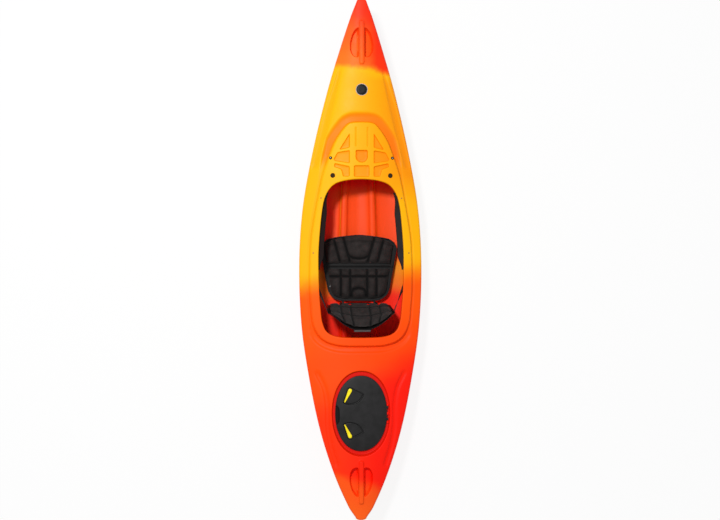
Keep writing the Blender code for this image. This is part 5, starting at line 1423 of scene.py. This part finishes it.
def cover_top(x, y):
    across, along = np.abs(2 * x / HATCH_WIDTH), np.abs(2 * (y - HATCH_Y) / HATCH_LENGTH)
    reach = (across**HATCH_POWER + along**HATCH_POWER) ** (1 / HATCH_POWER)
    z = COVER_Z + 0.010 + 0.010 * (1 - clamp(reach) ** 3)
    z -= rounding(-distance(COVER_RIM, x, y, 0.3), 0.004)
    scooped = z - 0.0110 * ease(scoop_share(x, y), 0.0, 0.30)
    z = np.maximum(scooped, np.minimum(z, COVER_Z + 0.0015))
    for loop in SECTORS:
        inward = -distance(loop, x, y)
        groove = 0.0020 * ease(inward, -0.0005, 0.0012) * (1 - ease(inward, 0.0044, 0.0070))
        z = mix(z, np.minimum(z, LEVER_FLOOR), ease(inward, -0.0015, 0.0012)) - groove
    return z


def cover_under(x, y):
    inward = -distance(COVER_RIM, x, y, 0.3)
    plug = ease(inward, 0.0318, 0.0325) * (1 - ease(inward, 0.0358, 0.0365))
    return COVER_Z + 0.001 * ease(inward, 0.036, 0.0365) - 0.008 * plug


rings = rings_of(COVER_RIM, [-0.0003, -0.0010, -0.0020, -0.0032, -0.0045, -0.0080])
for loop in SECTORS:
    rings += rings_of(loop, [0.0030, 0.0013, 0.0005, -0.0003, -0.0010, -0.0020, -0.0032, -0.0044])
    rings += rings_of(loop, [-0.0058, -0.0070])
scoop_rim = arc(1.0, -1.45, 1.45, 60)
scoop_rim = [Vector((SCOOP[0] + SCOOP[2] * c, SCOOP[1] + SCOOP[3] * s)) for c, s in scoop_rim]
inside = distance(COVER_RIM, *apart(scoop_rim)) < -0.009
rings.append([p if kept else None for p, kept in zip(scoop_rim, inside)] + [None])
cover = surface(COVER_RIM, rings + BORES, 0.004, BORES, cover_top)
under_rings = rings_of(COVER_RIM, [-0.0317, -0.0322, -0.0326, -0.0357, -0.0361, -0.0366])
under = surface(COVER_RIM, under_rings + BORES, 0.016, BORES, cover_under)
edge = [lifted(COVER_RIM, lambda x, y: 0 * x + COVER_Z + 0.002), lifted(COVER_RIM, cover_under)]
carry(cover, ring_at(cover, COVER_RIM), edge)
for bore in BORES:
    carry(cover, ring_at(cover, bore), [lifted(bore, cover_under)])
join(cover, under)
bmesh.ops.remove_doubles(cover, verts=[v for v in cover.verts if v.is_boundary], dist=1e-5)
bmesh.ops.recalc_face_normals(cover, faces=cover.faces)
KNUCKLE = [
    (0.0023, -0.007), (0.0037, -0.007), (0.0040, -0.0067), (0.0040, 0.0067), (0.0037, 0.007), (0.0023, 0.007),
    (0.0023, -0.007),
]
for y in (HATCH_Y - KNUCKLE_APART / 2, HATCH_Y + KNUCKLE_APART / 2):
    high = (HINGE_X - 0.0028, y + 0.007, HINGE_Z + 0.0032)
    join(cover, block((0.144, y - 0.007, COVER_Z + 0.001), high, 0.0010))
    knuckle = spun(KNUCKLE, 32)
    knuckle.transform(Matrix.Translation((HINGE_X, y, HINGE_Z)) @ Matrix.Rotation(math.radians(90), 4, "X"))
    join(cover, knuckle)
# Painted shade: the scoop's upward faces get the dark gasket rubber, as the shadow in the scoop.
for face in cover.faces:
    in_painted_scoop_shade = scoop_share(*face.calc_center_median().to_2d()) > 0.06
    face.material_index = int(in_painted_scoop_shade and face.normal.z > 0.2)
cover = piece("hatch_domed_cover", cover, COVER_PLASTIC, GASKET_AND_SCOOP_SHADE_RUBBER, sharp=50)
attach(cover, "hatch")
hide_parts("hatch_cover")
refinish(GASKET_AND_SCOOP_SHADE_RUBBER, "hatch_gasket")
refinish(HULL, "hatch_hinge_bracket")
refinish(NYLON, "hatch_cam_front", "hatch_cam_rear", "hatch_hinge_pin")

lead = Vector((math.cos(LEVER_REST), math.sin(LEVER_REST)))
taper = math.asin((LEVER_HUB - LEVER_TIP) / LEVER_ARM)
flank = math.pi / 2 - taper
grip = arc(LEVER_HUB, LEVER_REST + flank, LEVER_REST + math.tau - flank, 22)
grip += arc(LEVER_TIP, LEVER_REST - flank, LEVER_REST + flank, 12, lead * LEVER_ARM)
for way, place in ((1, "front"), (-1, "rear")):
    outline = even_loop(turned(way, grip), 96)
    axis_y = HATCH_Y + way * LEVER_Y

    def lever_top(x, y):
        z = LEVER_FLOOR + 0.0063 - rounding(-distance(outline, x, y, 0.2), LEVER_EDGE)
        hub = np.hypot(x - LEVER_X, y - axis_y)
        return z - 0.0008 * ease(hub, 0.0085, 0.0095) * (1 - ease(hub, 0.070, 0.073))

    rings = rings_of(outline, [-0.0002, -0.0006, -0.0012, -0.0018, -0.0024])
    rings += [circle(LEVER_X, axis_y, r, 36) for r in (0.0084, 0.0090, 0.0096)]
    lever = surface(outline, rings, 0.004, [], lever_top)
    base = [Vector((p.x, p.y, LEVER_FLOOR + 0.0003)) for p in outline]
    foot = carry(lever, ring_at(lever, outline), [base])
    lever.faces.new(foot)
    bmesh.ops.recalc_face_normals(lever, faces=lever.faces)
    stem_top = LEVER_FLOOR + 0.001
    stem = spun([(0.0, STEM_LOW), (0.0060, STEM_LOW), (0.0060, stem_top), (0.0, stem_top)], 32)
    bmesh.ops.translate(stem, vec=(LEVER_X, axis_y, 0), verts=stem.verts)
    join(lever, stem)
    lever = piece("hatch_lever_grip_" + place, lever, YELLOW_NYLON, sharp=50)
    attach(lever, "hatch_lever_" + place)
    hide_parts("hatch_lever_" + place)

# Studio. The boat lies on a plain white floor under one small soft lamp over the port bow and a
# pale sky, and the camera looks down on it from a little to port.

floor = bmesh.new()
bmesh.ops.create_grid(floor, x_segments=1, y_segments=1, size=14)
bmesh.ops.translate(floor, vec=(0, 0, -0.001), verts=floor.verts)
made, tree, shader, place = new_finish("studio_floor")
fill(tree, shader, {"Base Color": (0.86, 0.86, 0.86, 1), "Roughness": 0.9})
light_path = node(tree, "LightPath", {}).outputs
seen = maths(tree, light_path["Is Camera Ray"], light_path["Is Glossy Ray"])
seen = maths(tree, seen, light_path["Is Transmission Ray"])
share = maths(tree, seen, 0.88, "MULTIPLY")
glow = node(tree, "Emission", {"Color": (1, 1, 1, 1), "Strength": 1.0}).outputs[0]
both = node(tree, "MixShader", {0: share, 1: shader.outputs[0], 2: glow}).outputs[0]
tree.links.new(both, tree.nodes["Material Output"].inputs["Surface"])
floor = piece("studio_floor", floor, made)

world = bpy.data.worlds.new("studio")
bpy.context.scene.world = world
world.use_nodes = True
sky = world.node_tree.nodes["Background"]
fill(world.node_tree, sky, {"Color": (1.0, 1.0, 1.0, 1), "Strength": 0.50})

light = bpy.data.lights.new("key_lamp", "AREA")
light.shape = "DISK"
light.size = 0.8
light.energy = 320
lamp = bpy.data.objects.new("key_lamp", light)
lamp.location = (-1.7, 1.9, 6.4)
lamp.rotation_euler = (Vector((0, 0, 0.2)) - lamp.location).to_track_quat("-Z", "Y").to_euler()
bpy.context.scene.collection.objects.link(lamp)

CAMERA_HEIGHT = 8.0
CAMERA_X = -0.56
AIM_X = -0.006
AIM_HEIGHT = 0.27
DECK_HEIGHT = 0.32
PICTURE_WIDTH = 720
PIXEL = 0.00611
camera = bpy.data.cameras.new("overhead_camera")
camera.sensor_width = 36
camera.lens = camera.sensor_width * (CAMERA_HEIGHT - DECK_HEIGHT) / (PICTURE_WIDTH * PIXEL)
view = bpy.data.objects.new("overhead_camera", camera)
view.location = (CAMERA_X, 0.0, CAMERA_HEIGHT)
view.rotation_euler = (0, math.atan2(CAMERA_X - AIM_X, CAMERA_HEIGHT - AIM_HEIGHT), 0)
bpy.context.scene.collection.objects.link(view)
bpy.context.scene.camera = view
bpy.context.scene.view_settings.view_transform = "Standard"
